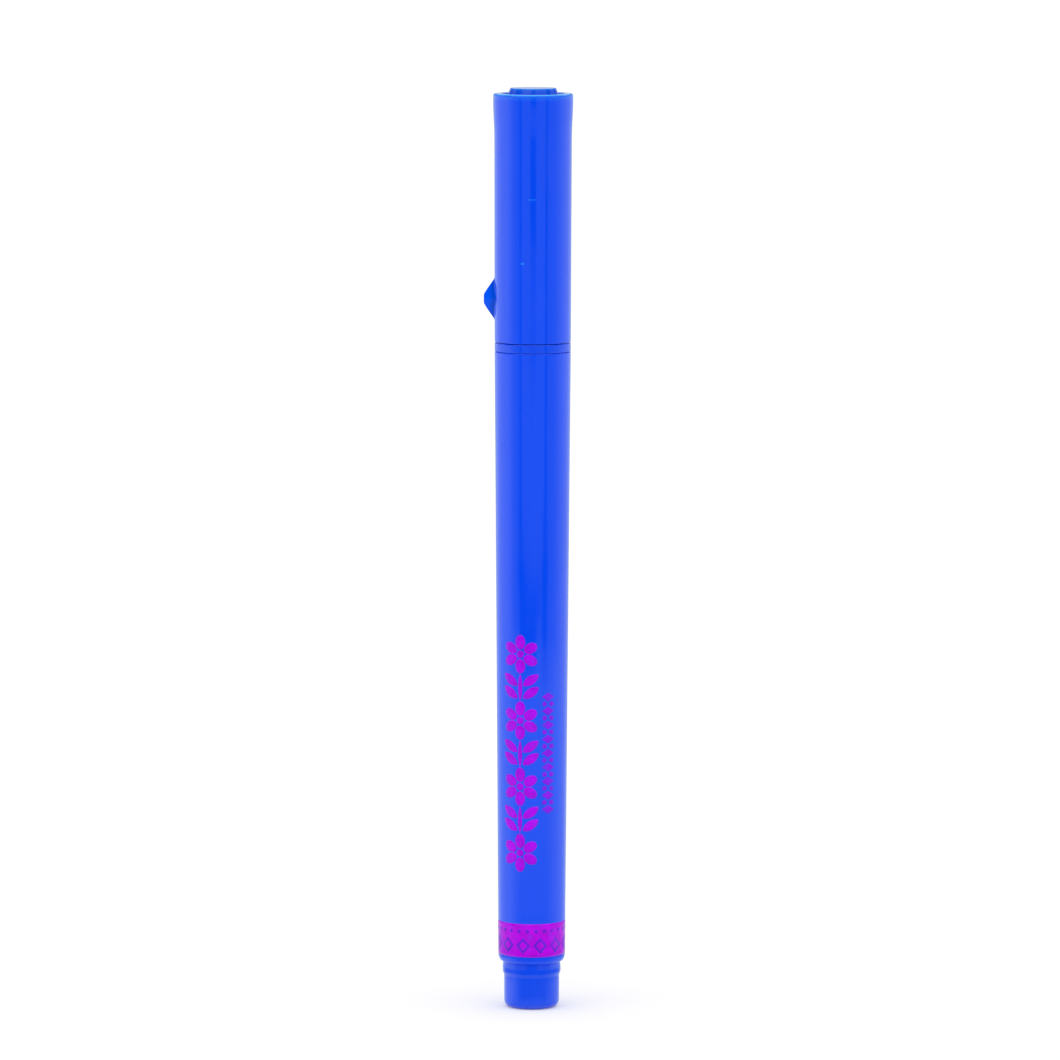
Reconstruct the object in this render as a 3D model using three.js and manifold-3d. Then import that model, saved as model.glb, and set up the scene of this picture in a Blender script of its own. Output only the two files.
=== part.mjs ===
// A felt-tip nail art pen with a pull-off cap, standing on its tail. Millimetres, +Z up.
// The origin is the centre of the flat end of the tail plug.
import * as THREE from "three";
import { mergeVertices } from "three/addons/utils/BufferGeometryUtils.js";
import Module from "manifold-3d";

const wasm = await Module();
wasm.setup();

// Facets round a turned piece, and steps along a quarter of a rounded edge
const OUTER_SIDES = 40;
const INNER_SIDES = 32;
const ARC_STEPS = 3;
const CURVE_STEPS = 5;

// Lengths along the pen
const TAIL_LENGTH = 7.0;
const BARREL_LENGTH = 91.9;
const COLLAR_HEIGHT = 1.34;
const NOSE_LENGTH = 25.1;
const CAP_LENGTH = 37.0;
const CROWN_RISE = 0.8;

// Barrel: a tube that is slimmer at the tail, with a rounded shoulder there and a seat at each end
const BARREL_FRONT_RADIUS = 5.67;
const BARREL_TAPER = 0.67;
const BARREL_WALL = 0.95;
const SHOULDER_HEIGHT = 1.1;
const SHOULDER_INSET = 0.62;
const FRONT_SEAT_DEPTH = 9.5;
const TAIL_SEAT_DEPTH = 7.5;
const SEAT_STEP = 0.15;
const SEAM_CHAMFER = 0.1;

// Fits between pieces
const PRESS_GAP = 0.05;
const END_GAP = 0.3;
const SNAP_CLEARANCE = 0.15;
const RIB_CLEARANCE = 0.05;
const SEAL_CLEARANCE = 0.08;
const RESERVOIR_CLEARANCE = 0.1;

// Tail plug: a hollow stepped stud, pressed into the barrel
const NECK_LIP = 0.23;
const NECK_LENGTH = 0.9;
const TAIL_BEAD_RISE = 0.06;
const TAIL_BEAD_LENGTH = 0.8;
const TAIL_BEAD_FALL = 0.5;
const BOSS_INSET = 0.14;
const BOSS_EDGE_HEIGHT = 1.0;
const TAIL_EDGE_WIDTH = 1.24;
const PLUG_WALL = 1.25;
const PLUG_FLOOR = 1.4;
const PLUG_SPIGOT_LENGTH = 7.0;
const PLUG_LEAD = 0.4;

// Nose section: collar, snap rings, straight body, taper and mouth
const NOSE_WALL = 0.63;
const NOSE_DRAFT = 0.185;
const NOSE_STRAIGHT_LENGTH = 15.7;
const NOSE_STRAIGHT_START = 4.0;
const SHOULDER_SOFTNESS = 1.1;
const MOUTH_RADIUS = 2.92;
const MOUTH_FILLET = 0.3;
const LAND_LENGTH = 2.0;
const LAND_DRAFT = 0.07;
const MOUTH_WALL = 0.45;
const MOUTH_BORE_DEPTH = 3.0;
const GUIDE_LENGTH = 9.0;
const VENT_WIDTH = 0.6;
const VENT_DEPTH = 0.45;
const NOSE_SPIGOT_LENGTH = 9.0;
const GRIP_RING_RISE = 0.1;
const GRIP_RING_LENGTH = 0.8;
const GRIP_RING_PITCH = 3.0;
const GRIP_RINGS = 2;

// Snap rings round the foot of the nose: the lower ones are interrupted
const SNAP_RINGS = 3;
const SNAP_RING_FIRST = 1.0;
const SNAP_RING_PITCH = 0.88;
const SNAP_RING_RISE = 0.09;
const SNAP_RING_LENGTH = 0.62;
const SNAP_SECTOR_START_DEG = -97;
const SNAP_SECTOR_SPAN_DEG = 120;
const SNAP_SECTORS = 2;

// Nib: a round felt rod with a conical point
const NIB_RADIUS = 1.71;
const NIB_REACH = 7.45;
const NIB_TIP_RADIUS = 0.45;
const NIB_CONE_DEG = 17;
const NIB_SOFTNESS = 0.55;
const NIB_REAR_CHAMFER = 0.35;
const NIB_CLEARANCE = 0.05;
const NIB_SOCKET_DEPTH = 5.0;

// Ink reservoir: a fibre rod in a thin film sleeve, as wide as the nose allows
const FILM_THICKNESS = 0.12;
const FILM_OVERHANG = 0.2;

// Cap shell: a tube with a flared top and an anti-roll lug
const CAP_WALL = 0.95;
const CAP_DRAFT = 0.09;
const CAP_FLARE = 0.18;
const CAP_FLARE_START = 30.3;
const CAP_FLARE_LENGTH = 5.6;
const CAP_RIM_INSET = 1.24;
const CAP_RIM_FILLET = 0.3;
const SNAP_RIB_GAP = 0.25;
const SNAP_RIB_LENGTH = 0.7;
const LEDGE_DEPTH = 5.0;
const LEDGE_LENGTH = 0.7;
const LEDGE_RISE = 0.28;

// Anti-roll lug: a four-sided blunt pyramid on the side of the cap
const LUG_HEIGHT_ABOVE_MOUTH = 6.5;
const LUG_LENGTH = 6.1;
const LUG_WIDTH = 3.9;
const LUG_PROUD = 1.65;
const LUG_FLAT_SHARE = 0.25;
const LUG_ROOT = 0.5;

// Inner cap: a closed cup that seals the mouth, whose crown shows at the top
const INNER_CAP_WALL = 0.64;
const CROWN_THICKNESS = 1.1;
const CROWN_DRAFT = 0.31;
const LIP_LEAD_LENGTH = 0.85;
const LIP_LEAD_WIDTH = 0.34;
const FIN_COUNT = 4;
const FIN_LENGTH = 7.5;
const FIN_THICKNESS = 0.8;
const FIN_ROOT = 0.3;

// Places and radii that follow from the sizes above
const collarBottom = TAIL_LENGTH + BARREL_LENGTH;
const collarTop = collarBottom + COLLAR_HEIGHT;
const mouthTop = collarTop + NOSE_LENGTH;
const frontSeatRadius = BARREL_FRONT_RADIUS - BARREL_WALL;
const barrelTailRadius = BARREL_FRONT_RADIUS - BARREL_TAPER;
const tailSeatRadius = barrelTailRadius - BARREL_WALL;
const neckRadius = tailSeatRadius + NECK_LIP;
const bossRadius = neckRadius - BOSS_INSET;
const plugSpigotTop = TAIL_LENGTH + PLUG_SPIGOT_LENGTH;
const capBoreRadius = BARREL_FRONT_RADIUS - CAP_WALL;
const snapRingRadius = capBoreRadius - SNAP_CLEARANCE;
const noseFootRadius = snapRingRadius - SNAP_RING_RISE;
const noseTopRadius = noseFootRadius - NOSE_DRAFT;
const chamberRadius = noseTopRadius - NOSE_WALL;
const filmRadius = chamberRadius - RESERVOIR_CLEARANCE;
const coreRadius = filmRadius - FILM_THICKNESS;
const landRadius = MOUTH_RADIUS + LAND_DRAFT;
const mouthBoreRadius = MOUTH_RADIUS - MOUTH_WALL;
const guideTop = NOSE_LENGTH - MOUTH_BORE_DEPTH;
const guideBottom = guideTop - GUIDE_LENGTH;
const chamberTop = guideBottom - (chamberRadius - NIB_RADIUS);
const coreTop = collarTop + chamberTop - END_GAP;
const coreBottom = plugSpigotTop + END_GAP;
const landBottom = NOSE_LENGTH - LAND_LENGTH;
const innerCapBore = landRadius + SEAL_CLEARANCE;
const innerCapRadius = innerCapBore + INNER_CAP_WALL;
const ledgeHeight = CAP_LENGTH - LEDGE_DEPTH;

const glossyBlue = new THREE.MeshStandardMaterial({ color: 0x1f55f2, roughness: 0.18, metalness: 0 });
const feltBlue = new THREE.MeshStandardMaterial({ color: 0x1657ef, roughness: 0.9, metalness: 0 });
const inkedFibre = new THREE.MeshStandardMaterial({ color: 0x1b3fc4, roughness: 0.95, metalness: 0 });
const clearFilm = new THREE.MeshStandardMaterial({ color: 0xdfe8f5, roughness: 0.25, metalness: 0 });

// A closed geometry as a solid that can be joined and cut.
function solidOf(geometry) {
  const bare = new THREE.BufferGeometry();
  bare.setAttribute("position", geometry.getAttribute("position"));
  bare.setIndex(geometry.getIndex());
  const merged = mergeVertices(bare, 1e-4);
  const triVerts = new Uint32Array(merged.index.array);
  const vertProperties = merged.attributes.position.array;
  return new wasm.Manifold(new wasm.Mesh({ numProp: 3, vertProperties, triVerts }));
}

// A solid back as a geometry.
function geometryOf(solid) {
  const made = solid.getMesh();
  const geometry = new THREE.BufferGeometry();
  geometry.setAttribute("position", new THREE.BufferAttribute(made.vertProperties, 3));
  geometry.setIndex(new THREE.BufferAttribute(made.triVerts, 1));
  geometry.computeVertexNormals();
  return geometry;
}

// A profile of radius and height turned round Z. It runs upwards along the outside of the piece.
function turned(path, sides) {
  return new THREE.LatheGeometry(path.getPoints(ARC_STEPS), sides).rotateX(Math.PI / 2);
}

// A closed path through corners given as [radius, height].
function ringPath(corners) {
  const path = new THREE.Path(corners.map(([radius, height]) => new THREE.Vector2(radius, height)));
  path.closePath();
  return path;
}

function named(name, geometry, material) {
  const mesh = new THREE.Mesh(geometry, material);
  mesh.name = name;
  return mesh;
}

// The stud that shows below the barrel, and the spigot that is pressed into it, with an open hollow.
function tailPlug() {
  const spigotRadius = tailSeatRadius - PRESS_GAP;
  const hollowRadius = bossRadius - PLUG_WALL;
  const beadTop = TAIL_LENGTH - NECK_LENGTH;
  const beadBottom = beadTop - TAIL_BEAD_LENGTH;
  const path = new THREE.Path();
  path.moveTo(0, 0);
  path.lineTo(bossRadius - TAIL_EDGE_WIDTH, 0);
  path.quadraticCurveTo(bossRadius, 0, bossRadius, BOSS_EDGE_HEIGHT);
  path.lineTo(bossRadius, beadBottom - TAIL_BEAD_FALL);
  path.lineTo(neckRadius + TAIL_BEAD_RISE, beadBottom);
  path.lineTo(neckRadius + TAIL_BEAD_RISE, beadTop - TAIL_BEAD_RISE);
  path.lineTo(neckRadius, beadTop);
  path.lineTo(neckRadius, TAIL_LENGTH);
  path.lineTo(spigotRadius, TAIL_LENGTH);
  path.lineTo(spigotRadius, plugSpigotTop - PLUG_LEAD);
  path.lineTo(spigotRadius - PLUG_LEAD, plugSpigotTop);
  path.lineTo(hollowRadius, plugSpigotTop);
  path.lineTo(hollowRadius, PLUG_FLOOR);
  path.lineTo(0, PLUG_FLOOR);
  return named("tail_plug", turned(path, OUTER_SIDES), glossyBlue);
}

// The tapered tube, with a seat for the tail plug and a seat for the nose section.
function barrel() {
  const bottom = TAIL_LENGTH;
  const shoulderTop = bottom + SHOULDER_HEIGHT;
  const faceRadius = barrelTailRadius - SHOULDER_INSET;
  const frontSeat = collarBottom - FRONT_SEAT_DEPTH;
  const tailSeat = bottom + TAIL_SEAT_DEPTH;
  const path = new THREE.Path();
  path.moveTo(tailSeatRadius, bottom);
  path.lineTo(faceRadius, bottom);
  path.bezierCurveTo(
    faceRadius + SHOULDER_INSET * 0.6, bottom,
    barrelTailRadius, shoulderTop - SHOULDER_HEIGHT * 0.7,
    barrelTailRadius, shoulderTop,
  );
  path.lineTo(BARREL_FRONT_RADIUS, collarBottom - SEAM_CHAMFER);
  path.lineTo(BARREL_FRONT_RADIUS - SEAM_CHAMFER, collarBottom);
  path.lineTo(frontSeatRadius, collarBottom);
  path.lineTo(frontSeatRadius, frontSeat);
  path.lineTo(frontSeatRadius - SEAT_STEP, frontSeat);
  path.lineTo(tailSeatRadius - SEAT_STEP, tailSeat);
  path.lineTo(tailSeatRadius, tailSeat);
  path.closePath();
  return named("barrel", turned(path, OUTER_SIDES), glossyBlue);
}

// The rings of the spigot, from its lower end up, as [radius, height] corners.
function gripRingCorners(bottom, radius) {
  const low = radius - GRIP_RING_RISE;
  const corners = [];
  for (let ring = 0; ring < GRIP_RINGS; ring += 1) {
    const start = bottom + GRIP_RING_PITCH * (ring + 0.5);
    corners.push([low, start]);
    corners.push([radius, start + GRIP_RING_LENGTH / 2]);
    corners.push([radius, start + GRIP_RING_LENGTH]);
    corners.push([low, start + GRIP_RING_LENGTH]);
  }
  return corners;
}

// The turned body of the nose section, measured upwards from the top of its collar.
function noseBody() {
  const spigotRadius = frontSeatRadius - PRESS_GAP;
  const spigotBottom = -COLLAR_HEIGHT - NOSE_SPIGOT_LENGTH;
  const low = spigotRadius - GRIP_RING_RISE;
  const bodyRadius = noseFootRadius - SNAP_RING_RISE / 2;
  const guideRadius = NIB_RADIUS + NIB_CLEARANCE;
  const filletHeight = NOSE_LENGTH - MOUTH_FILLET;
  const slope = (noseTopRadius - landRadius) / (landBottom - NOSE_STRAIGHT_LENGTH);
  const path = new THREE.Path();
  path.moveTo(chamberRadius, spigotBottom);
  path.lineTo(low - GRIP_RING_RISE, spigotBottom);
  path.lineTo(low, spigotBottom + GRIP_RING_RISE * 2);
  gripRingCorners(spigotBottom, spigotRadius).forEach(([radius, height]) => path.lineTo(radius, height));
  path.lineTo(low, -COLLAR_HEIGHT);
  path.lineTo(BARREL_FRONT_RADIUS - SEAM_CHAMFER, -COLLAR_HEIGHT);
  path.lineTo(BARREL_FRONT_RADIUS, SEAM_CHAMFER - COLLAR_HEIGHT);
  path.lineTo(BARREL_FRONT_RADIUS, -SEAM_CHAMFER);
  path.lineTo(BARREL_FRONT_RADIUS - SEAM_CHAMFER, 0);
  path.lineTo(noseFootRadius, 0);
  path.lineTo(noseFootRadius, NOSE_STRAIGHT_START - SNAP_RING_LENGTH / 2);
  path.lineTo(bodyRadius, NOSE_STRAIGHT_START);
  path.lineTo(noseTopRadius, NOSE_STRAIGHT_LENGTH - SHOULDER_SOFTNESS);
  path.quadraticCurveTo(
    noseTopRadius, NOSE_STRAIGHT_LENGTH,
    noseTopRadius - slope * SHOULDER_SOFTNESS, NOSE_STRAIGHT_LENGTH + SHOULDER_SOFTNESS,
  );
  path.lineTo(landRadius, landBottom);
  path.lineTo(MOUTH_RADIUS, filletHeight);
  path.absarc(MOUTH_RADIUS - MOUTH_FILLET, filletHeight, MOUTH_FILLET, 0, Math.PI / 2, false);
  path.lineTo(mouthBoreRadius, NOSE_LENGTH);
  path.lineTo(mouthBoreRadius, guideTop);
  path.lineTo(guideRadius, guideTop);
  path.lineTo(guideRadius, guideBottom);
  path.lineTo(chamberRadius, chamberTop);
  path.closePath();
  return turned(path, OUTER_SIDES).translate(0, 0, collarTop);
}

// One snap ring at its height above the collar.
function snapRing(index) {
  const middle = collarTop + SNAP_RING_FIRST + SNAP_RING_PITCH * index;
  const half = SNAP_RING_LENGTH / 2;
  const root = noseFootRadius - SNAP_RING_RISE;
  const corners = [
    [root, middle - half],
    [noseFootRadius, middle - half],
    [snapRingRadius, middle - half / 3],
    [snapRingRadius, middle + half / 3],
    [noseFootRadius, middle + half],
    [root, middle + half],
  ];
  return solidOf(turned(ringPath(corners), OUTER_SIDES));
}

// The upright pie slices that the interrupted rings are limited to.
function snapSectors() {
  const span = THREE.MathUtils.degToRad(SNAP_SECTOR_SPAN_DEG);
  let sectors = null;
  for (let index = 0; index < SNAP_SECTORS; index += 1) {
    const start = THREE.MathUtils.degToRad(SNAP_SECTOR_START_DEG) + (index * 2 * Math.PI) / SNAP_SECTORS;
    const slice = new THREE.Shape();
    slice.moveTo(0, 0);
    slice.absarc(0, 0, BARREL_FRONT_RADIUS, start, start + span, false);
    slice.closePath();
    const options = { depth: NOSE_STRAIGHT_START, bevelEnabled: false, curveSegments: INNER_SIDES };
    const solid = solidOf(new THREE.ExtrudeGeometry(slice, options).translate(0, 0, collarTop));
    sectors = sectors ? sectors.add(solid) : solid;
  }
  return sectors;
}

// Two flat bars that cross on the axis and leave vent slots beside the nib.
function ventBars() {
  const across = 2 * (NIB_RADIUS + NIB_CLEARANCE + VENT_DEPTH);
  const height = GUIDE_LENGTH + chamberRadius;
  const middle = collarTop + guideTop + MOUTH_BORE_DEPTH / 2 - height / 2;
  const first = new THREE.BoxGeometry(across, VENT_WIDTH, height).translate(0, 0, middle);
  const second = new THREE.BoxGeometry(VENT_WIDTH, across, height).translate(0, 0, middle);
  return solidOf(first).add(solidOf(second));
}

// Collar, snap rings, nose and spigot in one moulding, which holds the nib and the reservoir's front end.
function noseSection() {
  const sectors = snapSectors();
  let solid = solidOf(noseBody());
  for (let ring = 0; ring < SNAP_RINGS; ring += 1) {
    const whole = snapRing(ring);
    solid = solid.add(ring === SNAP_RINGS - 1 ? whole : whole.intersect(sectors));
  }
  return named("nose_section", geometryOf(solid.subtract(ventBars())), glossyBlue);
}

// The felt rod, from its rear end in the reservoir to its rounded tip.
function nib() {
  const tip = mouthTop + NIB_REACH;
  const rear = coreTop - NIB_SOCKET_DEPTH + END_GAP;
  const angle = THREE.MathUtils.degToRad(NIB_CONE_DEG);
  const tipCentre = tip - NIB_TIP_RADIUS;
  const edgeRadius = NIB_TIP_RADIUS * Math.cos(angle);
  const edgeHeight = tipCentre + NIB_TIP_RADIUS * Math.sin(angle);
  const shoulder = edgeHeight - (NIB_RADIUS - edgeRadius) / Math.tan(angle);
  const path = new THREE.Path();
  path.moveTo(0, rear);
  path.lineTo(NIB_RADIUS - NIB_REAR_CHAMFER, rear);
  path.lineTo(NIB_RADIUS, rear + NIB_REAR_CHAMFER);
  path.lineTo(NIB_RADIUS, shoulder - NIB_SOFTNESS);
  path.quadraticCurveTo(
    NIB_RADIUS, shoulder,
    NIB_RADIUS - NIB_SOFTNESS * Math.tan(angle), shoulder + NIB_SOFTNESS,
  );
  path.lineTo(edgeRadius, edgeHeight);
  path.absarc(0, tipCentre, NIB_TIP_RADIUS, angle, Math.PI / 2, false);
  return named("nib", turned(path, INNER_SIDES), feltBlue);
}

// The ink-soaked fibre rod, with the socket that the nib presses into.
function reservoirCore() {
  const socketRadius = NIB_RADIUS + NIB_CLEARANCE;
  const path = new THREE.Path();
  path.moveTo(0, coreBottom);
  path.lineTo(coreRadius, coreBottom);
  path.lineTo(coreRadius, coreTop);
  path.lineTo(socketRadius, coreTop);
  path.lineTo(socketRadius, coreTop - NIB_SOCKET_DEPTH);
  path.lineTo(0, coreTop - NIB_SOCKET_DEPTH);
  return named("reservoir_core", turned(path, INNER_SIDES), inkedFibre);
}

// The thin sleeve wrapped round the fibre rod.
function reservoirFilm() {
  const inner = coreRadius + FILM_THICKNESS / 4;
  const corners = [
    [inner, coreBottom - FILM_OVERHANG],
    [filmRadius, coreBottom - FILM_OVERHANG],
    [filmRadius, coreTop],
    [inner, coreTop],
  ];
  return named("reservoir_film", turned(ringPath(corners), INNER_SIDES), clearFilm);
}

// The flare of the cap's outline, rising smoothly from nothing to its full width.
function flareCorners() {
  const corners = [];
  for (let step = 0; step <= CURVE_STEPS; step += 1) {
    const share = step / CURVE_STEPS;
    const ease = share * share * (3 - 2 * share);
    const height = CAP_FLARE_START + share * CAP_FLARE_LENGTH;
    corners.push([BARREL_FRONT_RADIUS + CAP_DRAFT + CAP_FLARE * ease, height]);
  }
  return corners;
}

// The lug on the -X side, with its root inside the wall.
function lug() {
  const slant = (LUG_LENGTH / 2) * (1 - LUG_FLAT_SHARE) / LUG_PROUD;
  const rootRadius = LUG_LENGTH / 2 + slant * LUG_ROOT;
  const height = LUG_PROUD + LUG_ROOT;
  const shape = new THREE.CylinderGeometry((LUG_LENGTH / 2) * LUG_FLAT_SHARE, rootRadius, height, 4);
  shape.scale(LUG_WIDTH / LUG_LENGTH, 1, 1);
  shape.rotateZ(Math.PI / 2);
  const middle = BARREL_FRONT_RADIUS - LUG_ROOT + height / 2;
  return shape.translate(-middle, 0, LUG_HEIGHT_ABOVE_MOUTH);
}

// The cap's tube with its snap rib, its ledge for the inner cap and its lug, upwards from its mouth.
function capShell() {
  const rimRadius = BARREL_FRONT_RADIUS + CAP_DRAFT + CAP_FLARE;
  const topBore = rimRadius - CAP_RIM_INSET;
  const filletHeight = CAP_LENGTH - CAP_RIM_FILLET;
  const lastRing = SNAP_RING_FIRST + SNAP_RING_PITCH * (SNAP_RINGS - 1) + SNAP_RING_LENGTH / 2;
  const ribBottom = lastRing + SNAP_RIB_GAP;
  const ribRadius = snapRingRadius + RIB_CLEARANCE;
  const ribRise = capBoreRadius - ribRadius;
  const path = new THREE.Path();
  path.moveTo(capBoreRadius + SEAM_CHAMFER, 0);
  path.lineTo(BARREL_FRONT_RADIUS - SEAM_CHAMFER, 0);
  path.lineTo(BARREL_FRONT_RADIUS, SEAM_CHAMFER);
  flareCorners().forEach(([radius, height]) => path.lineTo(radius, height));
  path.lineTo(rimRadius, filletHeight);
  path.absarc(rimRadius - CAP_RIM_FILLET, filletHeight, CAP_RIM_FILLET, 0, Math.PI / 2, false);
  path.lineTo(topBore, CAP_LENGTH);
  path.lineTo(topBore, ledgeHeight + LEDGE_LENGTH + LEDGE_RISE);
  path.lineTo(capBoreRadius - LEDGE_RISE, ledgeHeight + LEDGE_LENGTH);
  path.lineTo(capBoreRadius - LEDGE_RISE, ledgeHeight);
  path.lineTo(capBoreRadius, ledgeHeight);
  path.lineTo(capBoreRadius, ribBottom + SNAP_RIB_LENGTH + ribRise);
  path.lineTo(ribRadius, ribBottom + SNAP_RIB_LENGTH);
  path.lineTo(ribRadius, ribBottom + ribRise);
  path.lineTo(capBoreRadius, ribBottom);
  path.lineTo(capBoreRadius, SEAM_CHAMFER);
  path.closePath();
  const solid = solidOf(turned(path, OUTER_SIDES)).add(solidOf(lug()));
  return named("cap_shell", geometryOf(solid), glossyBlue);
}

// The upright fins that centre the inner cap in the shell, under the ledge.
function fins() {
  const inside = innerCapRadius - FIN_ROOT;
  const outside = capBoreRadius - PRESS_GAP;
  let solid = null;
  for (let index = 0; index < FIN_COUNT; index += 1) {
    const fin = new THREE.BoxGeometry(outside - inside, FIN_THICKNESS, FIN_LENGTH);
    fin.translate((inside + outside) / 2, 0, ledgeHeight - FIN_LENGTH / 2);
    fin.rotateZ(((index + 0.5) * 2 * Math.PI) / FIN_COUNT);
    solid = solid ? solid.add(solidOf(fin)) : solidOf(fin);
  }
  return solid;
}

// The closed cup over the mouth and nib, upwards from the cap's mouth.
function innerCap() {
  const lip = landBottom - LIP_LEAD_LENGTH;
  const crownTop = CAP_LENGTH + CROWN_RISE;
  const path = new THREE.Path();
  path.moveTo(innerCapBore + LIP_LEAD_WIDTH, lip);
  path.lineTo(innerCapRadius, lip);
  path.lineTo(innerCapRadius, CAP_LENGTH);
  path.lineTo(innerCapRadius - CROWN_DRAFT, crownTop);
  path.lineTo(0, crownTop);
  path.lineTo(0, crownTop - CROWN_THICKNESS);
  path.lineTo(innerCapBore, crownTop - CROWN_THICKNESS);
  path.lineTo(innerCapBore, landBottom);
  path.closePath();
  const solid = solidOf(turned(path, OUTER_SIDES)).add(fins());
  return named("inner_cap", geometryOf(solid), glossyBlue);
}

const pen = new THREE.Group();
pen.add(tailPlug(), barrel(), noseSection(), nib(), reservoirCore(), reservoirFilm());

const cap = new THREE.Group();
cap.add(capShell(), innerCap());
cap.position.z = collarTop;

const part = new THREE.Group();
part.add(pen, cap);
export default part;
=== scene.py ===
"""A felt-tip nail art pen with a pull-off cap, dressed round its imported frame.

Shapes are worked out in millimetres from the pen's own sizes and written to the meshes in metres, +Z up.
"""

import logging
import math
from collections.abc import Callable, Iterator, Sequence
from dataclasses import dataclass
from enum import Enum
from functools import partialmethod

import bpy
import numpy as np
from mathutils import Matrix, Vector


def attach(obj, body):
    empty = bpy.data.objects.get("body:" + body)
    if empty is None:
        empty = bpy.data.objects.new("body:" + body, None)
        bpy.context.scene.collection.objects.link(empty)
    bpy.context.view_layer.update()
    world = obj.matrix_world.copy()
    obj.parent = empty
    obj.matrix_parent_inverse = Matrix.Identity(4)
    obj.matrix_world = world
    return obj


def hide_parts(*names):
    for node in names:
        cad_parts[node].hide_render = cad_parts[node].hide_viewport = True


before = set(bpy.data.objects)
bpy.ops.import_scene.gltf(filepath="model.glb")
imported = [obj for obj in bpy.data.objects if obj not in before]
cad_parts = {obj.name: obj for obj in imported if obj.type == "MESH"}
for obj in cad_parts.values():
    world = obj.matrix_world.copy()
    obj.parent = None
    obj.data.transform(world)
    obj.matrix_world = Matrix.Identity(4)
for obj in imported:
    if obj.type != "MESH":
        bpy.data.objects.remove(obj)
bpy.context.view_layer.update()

log = logging.getLogger("nail_art_pen")

MM = 0.001
HOLD = 0.06  # millimetres from a rounded corner to the ring that keeps the wall beside it flat
WALL_SHARE = 0.48  # the most of a wall that the rounding of one of its corners takes
ARC_STEPS = 7  # points along a rounded corner, less one
TINY = 1e-9  # millimetres: a point this near to the axis is a pole, a run that climbs no more is level
NEXT_CORNER = 1.0 - 1e-6  # shares of a run from here on are its end, which the next run starts with

Array = np.ndarray
Colour = tuple[float, float, float]
Place = tuple[float, float, float]
Shape = Callable[[Array, Array, Array], Array]


class Body(Enum):
    """The parts that move as one."""

    PEN = "pen"
    CAP = "cap"


class Slot(Enum):
    """The record's material slots by name; no piece here takes its finish from them."""

    CAP = "glossy_blue_cap"
    INNER_CAP = "inner_cap_blue"
    NOSE = "glossy_blue_nose"
    BARREL = "glossy_blue_barrel"
    TAIL = "glossy_blue_tail"
    NIB = "felt_nib"


@dataclass(frozen=True)
class Plan:
    """Sizes that several pieces share, in millimetres."""

    tail_length: float = 7.0
    barrel_length: float = 91.9
    collar_height: float = 1.34
    nose_length: float = 25.1
    cap_length: float = 37.0
    crown_rise: float = 0.8
    front_radius: float = 5.67
    tail_radius: float = 5.0
    wall: float = 0.95
    chamber_radius: float = 3.665
    nose_foot_radius: float = 4.48
    seam_round: float = 0.13
    seam_slit: float = 0.045

    @property
    def collar_bottom(self) -> float:
        """Height of the joint between barrel and collar."""
        return self.tail_length + self.barrel_length

    @property
    def collar_top(self) -> float:
        """Height of the joint between collar and cap."""
        return self.collar_bottom + self.collar_height

    @property
    def mouth_top(self) -> float:
        """Height of the mouth that the nib comes out of."""
        return self.collar_top + self.nose_length

    @property
    def rim_top(self) -> float:
        """Height of the cap's rim."""
        return self.collar_top + self.cap_length

    @property
    def crown_top(self) -> float:
        """Height of the crown disc, the highest point."""
        return self.rim_top + self.crown_rise


PLAN = Plan()


def smooth_step(share: Array) -> Array:
    """An ease from 0 to 1: three shares squared less two shares cubed, the share cut to 0 to 1."""
    share = np.clip(share, 0.0, 1.0)
    return share * share * (3.0 - 2.0 * share)


def rise(value: Array, low: float, high: float) -> Array:
    """The ease from 0 to 1 while the value goes from low to high."""
    return smooth_step((value - low) / (high - low))


def soft_larger(first: Array, second: Array, width: float) -> Array:
    """The larger of two, rounded: half of their sum plus the root of difference and width squared."""
    return (first + second + np.sqrt((first - second) ** 2 + width**2)) / 2.0


def rounded(corners: Sequence[Sequence[float]], closed: bool, steps: int = ARC_STEPS) -> Array:
    """A profile of radius and height whose corners are rounded with true arcs.

    Each corner is a radius, a height and, where it is rounded, the size of the rounding. An arc
    touches both walls at the tangent length, the rounding times the tangent of half the turn.
    Walls longer than four holds get a ring close to each end, so that they shade flat.

    Args:
        corners: the corners in order, upwards along the outside.
        closed: whether the last corner joins the first.
        steps: points along each arc, less one.

    Returns:
        The points as rows of radius and height.
    """
    spots = np.array([corner[:2] for corner in corners], float)
    sizes = [corner[2] if len(corner) > 2 else 0.0 for corner in corners]
    pieces = []
    last = len(spots) - 1
    for index, spot in enumerate(spots):
        if sizes[index] == 0.0 or (not closed and index in (0, last)):
            pieces.append(spot[None])
            continue
        back = spots[index - 1] - spot
        ahead = spots[(index + 1) % len(spots)] - spot
        reach_back, reach_ahead = np.linalg.norm(back), np.linalg.norm(ahead)
        back, ahead = back / reach_back, ahead / reach_ahead
        half = math.acos(float(np.clip(back @ ahead, -1.0, 1.0))) / 2.0
        tangent = min(sizes[index] / math.tan(half), WALL_SHARE * reach_back, WALL_SHARE * reach_ahead)
        size = tangent * math.tan(half)
        middle = spot + (back + ahead) / np.linalg.norm(back + ahead) * math.hypot(tangent, size)
        start, end = spot + back * tangent - middle, spot + ahead * tangent - middle
        turn = math.pi - 2.0 * half
        share = np.linspace(0.0, 1.0, steps + 1)[:, None]
        arc = start * np.sin((1 - share) * turn) + end * np.sin(share * turn)
        pieces.append(middle + arc / math.sin(turn))
    return held(np.concatenate(pieces), closed)


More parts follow.
